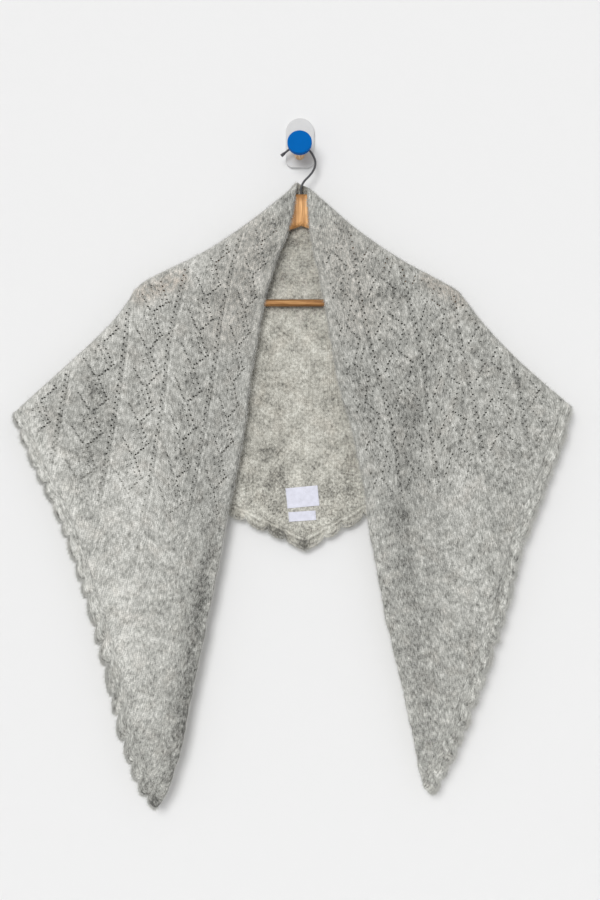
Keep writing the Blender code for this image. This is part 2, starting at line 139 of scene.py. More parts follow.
def lattice_noise(x, y, seed):
    """Smooth noise from -1 to 1 over two coordinates."""
    cell_x, cell_y = np.floor(x).astype(int), np.floor(y).astype(int)
    share_x, share_y = ease(0, 1, x - cell_x), ease(0, 1, y - cell_y)

    def corner(step_x, step_y):
        mixed = np.sin((cell_x + step_x) * 127.1 + (cell_y + step_y) * 311.7 + seed * 74.7) * 43758.5453
        return (mixed - np.floor(mixed)) * 2 - 1

    low = corner(0, 0) * (1 - share_x) + corner(1, 0) * share_x
    high = corner(0, 1) * (1 - share_x) + corner(1, 1) * share_x
    return low * (1 - share_y) + high * share_y


def layered_noise(layers, x, y):
    """Sum of noises: length along x and along y, strength and seed of each."""
    return sum(strength * lattice_noise(x / x_length, y / y_length, seed)
               for x_length, y_length, strength, seed in layers)


def from_neck(half, reach, lean):
    angle = np.radians(lean)
    x = half.neck[0] + half.side * reach * np.sin(angle)
    z = half.neck[1] - reach * np.cos(angle)
    return np.stack([x, z], -1)


def crest_at(half, p):
    reach = p * half.fold_reach
    return from_neck(half, reach, along(half.crest, reach))


def far_side(half, layer, p):
    """Where the stretch ends: the plain edge in front, the middle line behind."""
    if layer == FRONT:
        reach = p * half.tip_reach
        return from_neck(half, reach, along(half.plain_edge, reach))
    p = np.asarray(p, float)[..., None]
    return (1 - p) * np.array(NECK_MIDDLE) + p * np.array(BACK_POINT)


def fold_width(half, layer, p):
    """Distance of a stretch's far side from the crest."""
    neck = np.array(half.neck)
    crest = crest_at(half, p) - neck
    far = far_side(half, layer, p) - neck
    cross = crest[..., 0] * far[..., 1] - crest[..., 1] * far[..., 0]
    return np.abs(cross) / np.hypot(crest[..., 0], crest[..., 1])


def soft_folds(folds, x, z):
    """Height of soft folds: top x and z, foot x and z, height and half width of each."""
    total = np.zeros_like(x)
    for top_x, top_z, foot_x, foot_z, height, half_width in folds:
        run = np.array([foot_x - top_x, foot_z - top_z])
        length = math.hypot(*run)
        share = ((x - top_x) * run[0] + (z - top_z) * run[1]) / length ** 2
        aside = ((x - top_x) * run[1] - (z - top_z) * run[0]) / length
        fade = ease(0, FOLD_FADE, np.minimum(share - FOLD_START, FOLD_END - share))
        total += height * hill(aside, 0, half_width) * fade
    return total


def cloth(half, layer, p, q):
    """Middle of the wall at p and q."""
    p, q = np.broadcast_arrays(np.asarray(p, float), np.asarray(q, float))
    crest = crest_at(half, p)
    far = far_side(half, layer, p)
    space = along(LAYER_SPACE, np.abs(crest[..., 0]))
    width = fold_width(half, layer, p)
    round_crest = space * math.pi / 2

    def below_crest(distance):
        turn = np.minimum(distance / space, math.pi / 2)
        return space * (1 - np.cos(turn)) + np.maximum(distance - round_crest, 0)

    distance = q * width
    slack = width - below_crest(width)
    share = (below_crest(distance) + slack * q) / width
    point = crest + (far - crest) * share[..., None]
    if layer == FRONT:
        neck = np.array(half.neck)
        point = neck + (point - neck) * (1 + along(half.bow, q))[..., None]
    x, z = point[..., 0], point[..., 1]
    turn = np.sin(np.minimum(distance / space, math.pi / 2))
    depth = along(LAYER_SPACE, np.abs(x)) * turn
    if layer == FRONT:
        depth = depth + soft_folds(half.folds, x, z) * turn
    return np.stack([x, FOLD_PLANE + layer * depth, z], -1)


def leg_distance(half, layer, q):
    """Distance from the neck to the line that the leg follows at q."""
    q = np.clip(q, LEG_SPAN, 1)
    before = cloth(half, layer, 1.0, q - LEG_SPAN)
    after = cloth(half, layer, 1.0, np.minimum(q + LEG_SPAN, 1))
    run = (after - before)[..., ::2]
    reach = cloth(half, layer, 1.0, q)[..., ::2] - np.array(half.neck)
    square = np.abs(run[..., 0] * reach[..., 1] - run[..., 1] * reach[..., 0])
    return square / np.hypot(run[..., 0], run[..., 1])


def from_rim(half, layer, q, width):
    """Value of p at a distance inside the leg. Both stretches give the same one at the crest."""
    crest = (leg_distance(half, FRONT, 0) + leg_distance(half, BACK, 0)) / 2
    share = np.clip(q / CREST_BLEND, 0, 1)
    return 1 - width / (crest * (1 - share) + leg_distance(half, layer, q) * share)


# ---- cloth in the flat
# u runs along the plain edge from the half's neck to its tip, and v across it towards the back point.


def fold_line(half):
    lean = math.radians(half.fold_lean)
    return half.fold_reach * math.cos(lean), half.fold_reach * math.sin(lean)


def folded(half, u, v):
    """Whether flat places hang in front, and their p and q."""
    fold_u, fold_v = fold_line(half)
    along_fold = v / fold_v
    along_edge = (u - along_fold * fold_u) / half.tip_reach
    front = along_edge >= 0
    total = np.where(front, along_fold + along_edge, 1.0)
    total = np.maximum(total, 1e-6)
    q_front = np.clip(np.where(front, along_edge / total, 0), 0, 1)
    p_front = total / (1 + along(half.bow, q_front))
    a = half.neck_offset * (DEPTH - fold_v)
    b = u * (DEPTH - fold_v) + half.neck_offset * fold_v + v * fold_u
    c = u * fold_v - v * fold_u
    root = np.sqrt(np.maximum(b * b - 4 * a * c, 0))
    q_back = np.clip(-2 * c / np.maximum(b + root, 1e-6), 0, 1)
    p_back = v / ((1 - q_back) * fold_v + DEPTH * q_back)
    return front, np.where(front, p_front, p_back), np.where(front, q_front, q_back)


def flat(half, front, p, q):
    """Flat place of p and q."""
    fold_u, fold_v = fold_line(half)
    reach = p * (1 + along(half.bow, q))
    u_front = reach * ((1 - q) * fold_u + q * half.tip_reach)
    v_front = reach * (1 - q) * fold_v
    u_back = (1 - q) * p * fold_u - half.neck_offset * q
    v_back = (1 - q) * p * fold_v + DEPTH * p * q
    return np.where(front, u_front, u_back), np.where(front, v_front, v_back)


COLLAR_TOP = (-4.0, -60.0)      # the cloth stands up here, beside the steel hook
COLLAR_RISE = 4.6
COLLAR_SPREAD = 12.0
EDGE_WAVE = 0.9                 # unevenness of the plain edge
EDGE_WAVES = ((17, 1, 1.0, 31), (7, 1, 0.6, 33))
PLEAT_HEIGHT = 1.8
PLEAT_PITCH = 5.2
PLEAT_LEAN = 0.08


def hung(half, front, p, q):
    """Middle of the cloth, with the creases that are too small for the solids."""
    p = np.maximum(p, NECK_REACH / half.fold_reach / 2)
    place = np.where(front[..., None], cloth(half, FRONT, p, q), cloth(half, BACK, p, q))
    x, z = place[..., 0], place[..., 2]
    front_creases = soft_folds(CREASES[half.name], x, z)
    back_creases = soft_folds(CREASES["back"], x, z) + pleats(x, z)
    place[..., 0] += EDGE_WAVE * layered_noise(EDGE_WAVES, z, 0) * ease(0.9, 1, q) * front
    place[..., 1] += np.where(front, -front_creases, back_creases) * ease(0.02, 0.12, q)
    from_collar = np.hypot(x - COLLAR_TOP[0], z - COLLAR_TOP[1])
    place[..., 2] += COLLAR_RISE * hill(from_collar, 0, COLLAR_SPREAD)
    return place


def pleats(x, z):
    """Gathers of the back's top edge behind the steel hook."""
    aside, below = x - NECK_MIDDLE[0], NECK_MIDDLE[1] - z
    fade = (1 - ease(9, 17, np.abs(aside))) * (1 - ease(5, 24, below))
    turn = 2 * math.pi * (aside + PLEAT_LEAN * below) / PLEAT_PITCH
    return PLEAT_HEIGHT * (0.5 + 0.5 * np.sin(turn)) * fade


def hung_from_flat(half, u, v):
    return hung(half, *folded(half, u, v))


def unit(vectors):
    return vectors / np.maximum(np.linalg.norm(vectors, axis=-1, keepdims=True), 1e-9)


def facing(half, u, v, step=0.8):
    """Direction out of the cloth's outer side."""
    across = hung_from_flat(half, u + step, v) - hung_from_flat(half, u - step, v)
    down = hung_from_flat(half, u, v + step) - hung_from_flat(half, u, v - step)
    return unit(np.cross(across, down) * half.side)


# Soft creases: top x and z, foot x and z, height and half width.
CREASES = {
    "left": (
        (-100, -190, -92, -330, 0.9, 7), (-128, -300, -120, -470, 0.8, 9), (-262, -262, -300, -400, 0.9, 9),
        (-330, -360, -318, -450, 0.9, 7), (-232, -420, -222, -560, -1.3, 9), (-180, -420, -190, -600, 0.8, 8),
        (-205, -640, -206, -800, -0.8, 6), (-236, -440, -232, -700, 3.0, 26),
        (-146, -380, -150, -520, -1.8, 11), (-277, -330, -276, -440, -1.8, 11)),
    "right": (
        (66, -170, 78, -300, 0.8, 7), (110, -240, 122, -420, 0.9, 9), (216, -566, 232, -626, -1.5, 5),
        (226, -560, 242, -622, 0.8, 5), (116, -470, 128, -560, 1.3, 10), (292, -330, 318, -420, 0.8, 8),
        (172, -560, 166, -720, 0.9, 8), (206, -700, 190, -820, -0.8, 6), (186, -290, 138, -460, -2.6, 13),
        (138, -460, 160, -740, -2.4, 13), (208, -400, 214, -640, 2.6, 24)),
    "back": (
        (-60, -150, -96, -330, 1.2, 16), (-150, -220, -170, -420, -1.0, 14), (-36, -300, -52, -480, -0.9, 12),
        (-240, -300, -232, -420, 1.0, 12), (64, -150, 92, -330, 1.1, 15), (150, -220, 176, -420, -1.0, 14),
        (30, -320, 46, -500, -0.9, 12), (246, -300, 240, -400, 1.0, 12)),
}

# Soft changes of the yarn's tone, with painted shade and light of folds, rolled edges and shadows beside the
# edges: top x and z, foot x and z, tone and half width.
TONES_AND_PAINTED_SHADE = {
    "left": (
        (-278, -320, -272, -425, -0.22, 15), (-244, -440, -228, -590, 0.26, 34),
        (-232, -600, -214, -760, 0.28, 24), (-146, -300, -144, -470, -0.12, 18),
        (-120, -480, -132, -610, -0.12, 12), (-138, -590, -172, -840, -0.30, 13),
        (-206, -868, -197, -905, -0.35, 12), (-200, -886, -196, -912, -0.60, 9),
        (-122, -211, -50, -211, -0.22, 8), (-206, -240, -180, -300, 0.12, 20),
        (-365, -380, -257, -650, 0.27, 27), (-60, -96, -330, -325, 0.28, 20),
        (-190, -290, -220, -500, 0.20, 35), (-186, -500, -180, -690, 0.12, 30),
        (-12, -74, -44, -160, -0.28, 8), (-126, -560, -160, -835, -0.46, 8),
        (-102, -480, -120, -560, -0.20, 7), (-372, -380, -338, -440, 0.14, 22),
        (-56, -170, -54, -200, 0.26, 6), (-69, -226, -72, -240, -0.20, 6), (-340, -400, -235, -650, 0.07, 60),
        (-180, -160, -130, -178, 0.10, 16), (-55, -172, -48, -188, 0.10, 8),
        (-225, -415, -210, -480, 0.10, 22), (-258, -630, -254, -672, -0.08, 14),
        (-79, -415, -98, -500, -0.30, 5)),
    "right": (
        (186, -262, 150, -360, -0.26, 15), (150, -360, 136, -500, -0.34, 17),
        (136, -500, 148, -610, -0.26, 15), (150, -610, 166, -740, -0.22, 15), (72, -300, 84, -380, -0.20, 18),
        (222, -440, 228, -620, 0.18, 26), (48, -211, 130, -209, -0.12, 8), (262, -300, 310, -350, -0.12, 16),
        (172, -760, 176, -850, -0.10, 16), (116, -196, 140, -216, -0.28, 13),
        (300, -350, 330, -372, 0.16, 16), (18, -190, 42, -345, 0.34, 8), (44, -100, 120, -180, -0.08, 16),
        (98, -258, 110, -353, -0.10, 26)),
    "back": (
        (-46, -526, -20, -541, -0.75, 8), (-10, -110, -16, -170, -0.12, 26), (6, -250, 2, -420, 0.18, 24),
        (34, -400, 46, -452, 0.12, 14), (-44, -420, -30, -470, -0.16, 14), (3, -541, 7, -560, -1.10, 7),
        (-14, -118, -44, -195, -0.40, 9), (-50, -490, 60, -490, -0.06, 45), (48, -514, 58, -522, -0.50, 6),
        (-84, -500, -66, -508, 0.30, 9), (16, -528, 34, -520, 0.25, 8), (-27, -394, -24, -462, -0.34, 4),
        (-38, -400, -37, -510, -0.14, 12), (70, -425, 66, -480, -0.26, 8)),
}
# Where the hanger's wooden arms shine through the lace at the shoulders, and a warmer tint near the neck.
WARMTH = ((-226, -216, -164, -190, 1.0, 14), (164, -184, 216, -216, 0.9, 12),
          (-46, -100, -96, -250, 0.45, 42), (36, -110, 86, -240, 0.40, 40))


def stretch_name(half, layer):
    return half.name if layer == FRONT else "back"


def tone(stretch, x, z):
    """Tone of the yarn with painted shade and light of folds and edges, 0 where it is even."""
    return soft_folds(TONES_AND_PAINTED_SHADE[stretch], x, z)


# ---- lace chart

# The repeat is 21 stitches by 18 rows. A run of eyelets: first stitch and row, step in stitches and
# rows, number of eyelets, their width as a share of a stitch, and how far they lie aside in their stitch.

REPEAT_STITCHES = 21
REPEAT_ROWS = 18
LACE_FROM = {True: 52.0, False: 118.0}      # in front, and behind
LACE_FROM_FOLD = 12.0
LACE_START = 0.55           # the eyelets grow from this share of their width over this length
LACE_FADE = 60.0
LACE_SHRINK = 0.68          # and lose this share between these places
LACE_FADES = {"left": (425.0, 505.0), "right": (395.0, 475.0)}
SMALLEST_EYELET = 0.36
LACE_FROM_EDGE = 4          # stitches of the plain edge without eyelets
LACE_MARGIN = 7.0
Run = namedtuple("Run", "stitch row stitch_step row_step count width aside", defaults=[0.0])
Chart = namedtuple("Chart", "first_stitch runs leaves")
CHARTS = {
    "left": Chart(22, (
        Run(0, 0, 0, 3, 6, 0.90),               # ladder, outer and inner line
        Run(-1, 1, 0, 3, 6, 0.56, -0.22),
        Run(3, 11, 1, 1.45, 6, 0.98),           # close line outwards, open line back
        Run(8, 20, -1, 2, 5, 0.88),
        Run(15, 11, -1, 1.45, 6, 0.76),         # close line inwards
        Run(9, 5, -1, 2, 4, 0.66),              # scattered between the two
        Run(12, 4, -1, 3, 3, 0.52),
        Run(10, 21, 1, 3, 2, 0.50),
    ), ((2.5, 17, 2.6, 5.5), (15.5, 1, 3.6, 6.5))),
    "right": Chart(19, (
        Run(0, 1, 0, 3, 6, 0.92),
        Run(-1, 2, 0, 3, 6, 0.58, -0.22),
        Run(8, 2, -1, 1.45, 6, 0.84),           # close lines inwards and outwards
        Run(11, 2, 1, 1.45, 6, 0.80),
        Run(4, 12, 1, 2, 4, 0.72),              # open lines back
        Run(15, 11, -1, 2, 4, 0.84),
        Run(17, 14, -1, 2, 3, 0.62),
        Run(9, 6, 1, 3, 2, 0.52),
        Run(8, 9, 3, 2, 2, 0.52),
    ), ((3.5, 16, 2.8, 4.5), (18, 2, 2.4, 4.5))),
}
# Columns that drift: the stitch that moves most, its reach in stitches, and by row its shift.
DRIFTS = {
    "left": ((22, 21, ((0, 0.0), (75, 0.0), (100, -3.8), (125, -6.6), (145, -8.2), (170, -6.5),
                       (220, -5.0))),),
    "right": ((19, 19, ((0, -2.8), (95, -2.8), (130, 0.0), (220, 0.0))),
              (61, 21, ((0, -11.0), (77, -11.0), (95, -7.4), (105, -4.6), (115, -1.0), (141, 4.0),
                        (220, 4.0)))),
}


def eyelets(half, stitches, rows):
    """Run of eyelets that each cell with an eyelet belongs to."""
    chart = CHARTS[half.name]
    found = {}
    bands = range(-1, stitches // REPEAT_STITCHES + 1)
    repeats = range(-1, rows // REPEAT_ROWS + 1)
    for run in chart.runs:
        for n in range(run.count):
            for band in bands:
                for repeat in repeats:
                    i = chart.first_stitch + band * REPEAT_STITCHES + run.stitch + n * run.stitch_step
                    j = repeat * REPEAT_ROWS + run.row + round(n * run.row_step)
                    found[i, j] = run
    return found


def leaves(half, stitch, row):
    """1 in the middle of the chart's plain leaves, where the knit is smoother."""
    chart = CHARTS[half.name]
    share = np.zeros_like(stitch)
    half_stitches, half_rows = REPEAT_STITCHES / 2, REPEAT_ROWS / 2
    for leaf_stitch, leaf_row, half_width, half_length in chart.leaves:
        aside = (stitch - chart.first_stitch - leaf_stitch + half_stitches) % REPEAT_STITCHES - half_stitches
        along_row = (row - leaf_row + half_rows) % REPEAT_ROWS - half_rows
        share += hill(aside, 0, half_width) * hill(along_row, 0, half_length)
    return share


def stitch_places(half, stitch, row):
    """Flat places of stitch numbers and row numbers. Both halves agree on the middle line."""
    shared = (along(LEFT.columns, stitch) + along(RIGHT.columns, stitch)) / 2
    from_middle = row * half.row_pitch
    own = along(half.columns, stitch)
    for centre, reach, shifts in DRIFTS[half.name]:
        own = own + along(shifts, row) * (1 - ease(0, reach, np.abs(stitch - centre)))
    v = shared + (own - shared) * ease(0, 80, from_middle)
    base = from_middle - half.neck_offset
    fade = ease(90, 200, base) * (1 - ease(420, 620, base))
    u = base + (base - half.row_centre) * along(half.row_spread, v) * fade
    return u, v


# ---- meshes

EYELET_SIDES = 8
EYELET_WIDTHS = (1.0, 0.86, 1.08, 0.92, 1.04)       # unevenness of the eyelets
EYELET_SHARE = 0.92
WIDEST_EYELET = 0.98
EYELET_SUNK = 0.15
# painted shade of the holes: darker rings round the eyelets and darker corners of their cells
EYELET_PAINTED_SHADE = -0.50
EYELET_CORNER_PAINTED_SHADE = -0.10
LADDER_CORNER_PAINTED_SHADE = -0.14
LINE_TONES = {"left": -0.25, "right": -0.16}        # between the eyelets of a close line
BESIDE_LINE_TONE = 0.10
LADDERS = {"left": 1.0, "right": 0.6}               # how much the ladders stand out
LADDER_FADES = (480.0, 760.0)
RIB_HEIGHT = 0.28
RIB_PLACE = (-2.1, 0.7)         # stitches from the ladder, and half width
PUFF = 0.55
PUFF_NOISE = ((3.1, 4.3, 0.5, 1), (1.3, 1.7, 0.3, 6))
SELVEDGE_ROLL = 0.9
SELVEDGE_PLACE = (1.6, 1.2)
INNER_RELIEF = 0.4              # share of the relief that shows on the inner side
RIM_FADE = 6.0                  # the relief ends at the rim over this length
BEHIND_FOLD = 22.0              # the front pieces of the knit end this far behind the fold
LOW_BACK_GRAIN = 1.1            # the knit is rougher at the foot of the back, below these heights
LOW_BACK = (-425.0, -485.0)
MOTTLE = 0.12                   # blotches of the yarn low in front, below these heights
MOTTLE_FROM = (-460.0, -620.0)
MOTTLE_NOISE = ((2.2, 2.4, 1.0, 41), (4.6, 5.0, 0.8, 43))
Settled = namedtuple("Settled", "u behind front p q outside margin")


def mesh_object(name, points, faces, uvs, materials, face_materials=0, flat_from=math.inf, values=()):
    """Mesh from points in millimetres, with a UV place and named values for each point.
    Faces from flat_from on are flat."""
    mesh = bpy.data.meshes.new(name)
    mesh.from_pydata((points * MM).tolist(), [], faces)
    layer = mesh.uv_layers.new(name="stitches")
    loops = np.empty(len(mesh.loops), int)
    mesh.loops.foreach_get("vertex_index", loops)
    layer.data.foreach_set("uv", uvs[loops].astype(np.float32).ravel())
    for kind, numbers in dict(values).items():
        mesh.attributes.new(kind, "FLOAT", "POINT").data.foreach_set("value", numbers.astype(np.float32))
    for material in materials:
        mesh.materials.append(material)
    mesh.polygons.foreach_set("use_smooth", np.arange(len(faces)) < flat_from)
    mesh.polygons.foreach_set("material_index", np.full(len(faces), face_materials, np.int32))
    mesh.update()
    obj = bpy.data.objects.new(name, mesh)
    bpy.context.scene.collection.objects.link(obj)
    return obj


def finish_piece(obj, slot, *nodes):
    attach(obj, "root")
    if nodes:
        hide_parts(*nodes)
    return obj


def relief(half, stitch, row):
    """Height of the knit's own relief: ribs along the ladders, loose stitches and a rolled plain edge."""
    from_ladder = (stitch - CHARTS[half.name].first_stitch + 10) % REPEAT_STITCHES - 10
    rib = RIB_HEIGHT * LADDERS[half.name] * hill(from_ladder, *RIB_PLACE) * ease(20, 45, row)
    roll = SELVEDGE_ROLL * hill(stitch, *SELVEDGE_PLACE)
    return rib + PUFF * layered_noise(PUFF_NOISE, stitch, half.side * row) + roll


def settle(half, stitch, row):
    """Flat u and the distance behind the fold of each stitch, then its stretch, p, q, whether it is outside
    the cloth, and its distance inside the rim. What is outside is brought to the edge."""
    u, v = stitch_places(half, stitch, row)
    fold_u, fold_v = fold_line(half)
    behind = (v * fold_u - u * fold_v) / half.fold_reach
    front, p, q = folded(half, u, v)
    rim = np.where(front, from_rim(half, FRONT, q, EDGING_WIDTH), from_rim(half, BACK, q, EDGING_WIDTH))
    start = NECK_REACH / half.fold_reach
    outside = (p > rim) | (p < start)
    p = np.clip(p, start, rim)
    return Settled(u, behind, front, p, q, outside, (rim - p) * half.fold_reach)


def surface(half, stitch, row, sunk=0.0):
    """Points of the knit, their UV places and their values, and what settle gives."""
    settled = settle(half, stitch, row)
    u, behind, front, p, q, _, margin = settled
    middle = hung(half, front, p, q)
    x, z = middle[..., 0], middle[..., 2]
    normal = facing(half, *flat(half, front, p, q))
    normal[row == 0] = (0, 1, 0)
    height = (relief(half, stitch, row) * ease(0, RIM_FADE, margin) - sunk)[..., None]
    side_row = half.side * row
    # tone of the yarn together with painted shade and light
    tones_and_shade = np.where(front, tone(half.name, x, z), tone("back", x, z))
    tones_and_shade += MOTTLE * layered_noise(MOTTLE_NOISE, stitch, side_row) * ease(*MOTTLE_FROM, z) * front
    in_front = behind < BEHIND_FOLD
    ladders = LADDERS[half.name] * in_front * ease(3, 6, stitch) * (1 - 0.5 * ease(*LADDER_FADES, u))
    smooth = leaves(half, stitch, row) * (1 - ease(*LACE_FADES[half.name], u)) * in_front
    smooth -= LOW_BACK_GRAIN * ease(*LOW_BACK, z) * ~in_front
    points = {"outer": middle + normal * (WALL / 2 + height),
              "inner": middle - normal * (WALL / 2 - INNER_RELIEF * height),
              "uv": np.stack([stitch, side_row], -1), "tone": tones_and_shade, "ladder": ladders, "leaf": smooth,
              "warmth": soft_folds(WARMTH, x, z) * front}
    return {kind: array.reshape(-1, *array.shape[2:]) for kind, array in points.items()}, settled


def open_cells(half, in_front, keep, cell_behind, settled, tones_and_shade):
    """Width and place aside of each cell's eyelet. The cell's corners get painted shade round the hole, or
    along a close line darker and paler stitches.
    """
    stitches, rows = keep.shape
    lace_from = LACE_FROM[in_front]
    cells = {}
    for (i, j), run in eyelets(half, stitches, rows).items():
        if not (LACE_FROM_EDGE <= i < stitches - 1 and 1 <= j < rows - 1 and keep[i, j]):
            continue
        u = settled.u[i, j]
        near_fold = abs(cell_behind[i, j]) <= LACE_FROM_FOLD
        if u <= lace_from or near_fold or settled.margin[i:i + 2, j:j + 2].min() < LACE_MARGIN:
            continue
        grown = LACE_START + (1 - LACE_START) * ease(lace_from, lace_from + LACE_FADE, u)
        grown *= 1 - LACE_SHRINK * ease(*LACE_FADES[half.name], u)
        width = run.width * EYELET_SHARE * EYELET_WIDTHS[(3 * i + 5 * j) % len(EYELET_WIDTHS)] * grown
        if width > SMALLEST_EYELET:
            cells[i, j] = (min(width, WIDEST_EYELET), run.aside)
        if run.row_step < 2:
            first_row, last_row = (j, j + 1) if run.stitch_step > 0 else (j + 1, j)
            tones_and_shade[(i, i + 1), (first_row, last_row)] += LINE_TONES[half.name] * grown
            tones_and_shade[(i, i + 1), (last_row, first_row)] += BESIDE_LINE_TONE * grown
        else:
            # painted shade at the corners round the hole
            corner_painted_shade = EYELET_CORNER_PAINTED_SHADE if run.stitch_step else LADDER_CORNER_PAINTED_SHADE
            tones_and_shade[i:i + 2, j:j + 2] += corner_painted_shade * grown
    return cells


def knit(name, stretches, materials):
    """Closed thin cloth, a cell for each stitch, with the lace's eyelets cut through.
    A stretch is a half of the shawl, and whether it is the part in front or the part behind."""
    parts, faces, edges, hole_walls = [], [], {}, []
    first = 0
    middle_line = None
    for half, in_front in stretches:
        stitches = int(half.columns[-1][0])
        rows = int(math.ceil((half.tip_reach + half.neck_offset) / half.row_pitch))
        stitch, row = np.meshgrid(np.arange(stitches + 1.0), np.arange(rows + 1.0), indexing="ij")
        points, settled = surface(half, stitch, row)
        outside, behind = settled.outside, settled.behind
        keep = ~(outside[:-1, :-1] & outside[1:, :-1] & outside[:-1, 1:] & outside[1:, 1:])
        cell_behind = (behind[:-1, :-1] + behind[1:, 1:]) / 2
        keep &= (cell_behind < BEHIND_FOLD) == in_front
        tones_and_shade = points["tone"].reshape(stitch.shape)
        cells = open_cells(half, in_front, keep, cell_behind, settled, tones_and_shade)
        numbers = first + np.arange(stitch.size).reshape(stitch.shape)
        if middle_line is None:
            middle_line = numbers[:, 0].copy()
        else:
            numbers[:, 0] = middle_line
        first += stitch.size

        places = np.array(sorted(cells), float)
        widths, asides = np.array([cells[cell] for cell in sorted(cells)]).T
        turn = (np.arange(EYELET_SIDES) + 0.5) / EYELET_SIDES * 2 * math.pi
        ring_i = places[:, :1] + 0.5 + asides[:, None] + widths[:, None] / 2 * np.cos(turn)
        ring_j = places[:, 1:] + 0.5 + widths[:, None] / 2 * np.sin(turn)
        rings, _ = surface(half, ring_i, ring_j, EYELET_SUNK)
        # painted shade round each hole
        rings["tone"] += EYELET_PAINTED_SHADE
        parts += [points, rings]
        ring_number = {cell: first + n * EYELET_SIDES for n, cell in enumerate(sorted(cells))}
        first += ring_i.size

        turned = -half.side
        for i, j in zip(*(n.tolist() for n in np.nonzero(keep))):
            corners = [int(numbers[cell]) for cell in ((i, j), (i + 1, j), (i + 1, j + 1), (i, j + 1))]
            outline = corners[::turned]
            for a, b in zip(outline, outline[1:] + outline[:1]):
                if (b, a) in edges:
                    del edges[b, a]
                else:
                    edges[a, b] = True
            start = ring_number.get((i, j))
            if start is None:
                faces.append(outline)
                continue
            # ring points are counted from the first quadrant, the cell's corners from the third
            ring = [start + k for k in range(EYELET_SIDES)]
            for k, corner in enumerate(corners):
                near = [ring[(2 * k + EYELET_SIDES // 2 + n) % EYELET_SIDES] for n in range(3)]
                faces.append([corner, near[1], near[0]][::turned])
                faces.append([corner, corners[(k + 1) % 4], near[2], near[1]][::turned])
            hole_walls += [(ring[k], ring[(k + 1) % EYELET_SIDES])[::turned] for k in range(EYELET_SIDES)]

    outer = {kind: np.concatenate([part[kind] for part in parts]) for kind in parts[0]}
    inner = outer | {"outer": outer["inner"], "ladder": outer["ladder"] * 0,
                     "leaf": np.minimum(outer["leaf"], 0), "warmth": outer["warmth"] * 0}
    count = len(outer["outer"])
    inner_faces = [[n + count for n in face[::-1]] for face in faces]
    wall_faces = [[a, b, b + count, a + count] for a, b in hole_walls]
    edge_faces = [[b, a, a + count, b + count] for a, b in edges]
    everything = faces + wall_faces + inner_faces + edge_faces
    face_materials = [0] * (len(faces) + len(wall_faces)) + [1] * len(inner_faces) + [0] * len(edge_faces)
    used = np.unique(np.concatenate([np.ravel(face) for face in everything]))
    renumber = np.full(2 * count, -1)
    renumber[used] = np.arange(len(used))
    everything = [renumber[face].tolist() for face in everything]
    points = {kind: np.concatenate([outer[kind], inner[kind]])[used] for kind in outer}
    return mesh_object(name, points["outer"], everything, points["uv"], materials, face_materials,
                       flat_from=len(everything) - len(edge_faces),
                       values={kind: points[kind] for kind in ("tone", "ladder", "leaf", "warmth")})


# ---- scalloped edging

SHELL_COLUMNS = 20
EDGING_ROWS = 15
TUCK = 1.2              # the edging starts this far inside the knit's rim, between its two faces
FRAYS = ((7, 0.7, 11), (3, 0.5, 5))     # waves in a shell, reach and seed
SHELL_SHIFT = 0.17      # the shells are shifted by up to this share of one
SHELL_UNEVEN = 0.9      # and their depth varies by this
POINT_FROM = 0.92       # the back's shells shrink from here to the back point
JOIN_FADE = (0.2, 0.6)          # along a front leg, the relief at the join fades to this share
JOIN_LEFT = 0.15
CALM_FADE = (0.25, 0.6)         # and the shells' relief to this one
CALM_LEFT = 0.5
STITCH_WIDTH = 2.9      # millimetres in a unit of the edging's UV map, across and along it
ROW_WIDTH = 2.8
FIRST_STITCH = 250      # a place in the yarn's noise that the knit doesn't use
# Across the edging, from 0 at its join to 1 at its rim: middle and half width of each part.
GROOVE = (0.14, 0.06)
RIB = (0.26, 0.08)
SECOND_GROOVE = (0.42, 0.09)
# a painted highlight lies in the pale band, and painted shade in the crescent under the curled rim
PALE_HIGHLIGHT_BAND = (0.60, 0.12)
SHELL = (0.70, 0.22)
CRESCENT_SHADE = (0.84, 0.09)
UNDER_SHELL = (0.58, 0.24)      # the crescent's middle and half width along the shell
RIB_RISE = 0.6
GROOVE_DROP = 0.45
SHELL_RISE = 1.5
CURL_DROP = 1.7
# Each stretch's edging: depth of the shells, strength of the relief at the join, and strengths of the painted
# highlight on the rib, the painted shade in the groove there and the painted shade under the curled rim.
Hem = namedtuple("Hem", "depth relief rib_tone groove_tone curl_tone")
HEMS = {"left": Hem(6.0, 0.7, 0.12, 0.75, 1.05), "right": Hem(3.2, 0.5, 0.30, 0.95, 0.35),
        "back": Hem(7.4, 1.0, 0.60, 0.70, 0.85)}


def scallop(share):
    """Height of a shell's rim over its notches, 0 to 1."""
    return np.sqrt(np.clip(1 - (2 * share - 1) ** 2, 0, 1))


def leg_size(half, layer):
    """Length of a leg, and how many shells it has."""
    leg = math.dist(crest_at(half, 1.0), far_side(half, layer, 1.0))
    return leg, round(leg / SCALLOP_PITCH)


def shells(half, layer, q):
    """Places counted in shells at q along a leg, with each shell's unevenness and the rim's distance
    inside the scallops' outer line."""
    _, count = leg_size(half, layer)
    place = q * count
    shift = SHELL_SHIFT * np.sin(place * 2.3 + half.side + layer) * np.sin(math.pi * q)
    place = np.clip(place + shift, 0, count)
    number = np.floor(place)
    uneven = np.sin(number * 2.3 + half.side) + 0.6 * np.sin(number * (5.1 + 0.4 * layer))
    at_point = ease(POINT_FROM, 1, q) * (layer == BACK)
    depth = (HEMS[stretch_name(half, layer)].depth + SHELL_UNEVEN * uneven) * (1 - at_point)
    fray = sum(reach * np.abs(lattice_noise(place * waves, 0, seed)) for waves, reach, seed in FRAYS)
    return place, uneven, depth * (1 - scallop(place % 1)) + fray


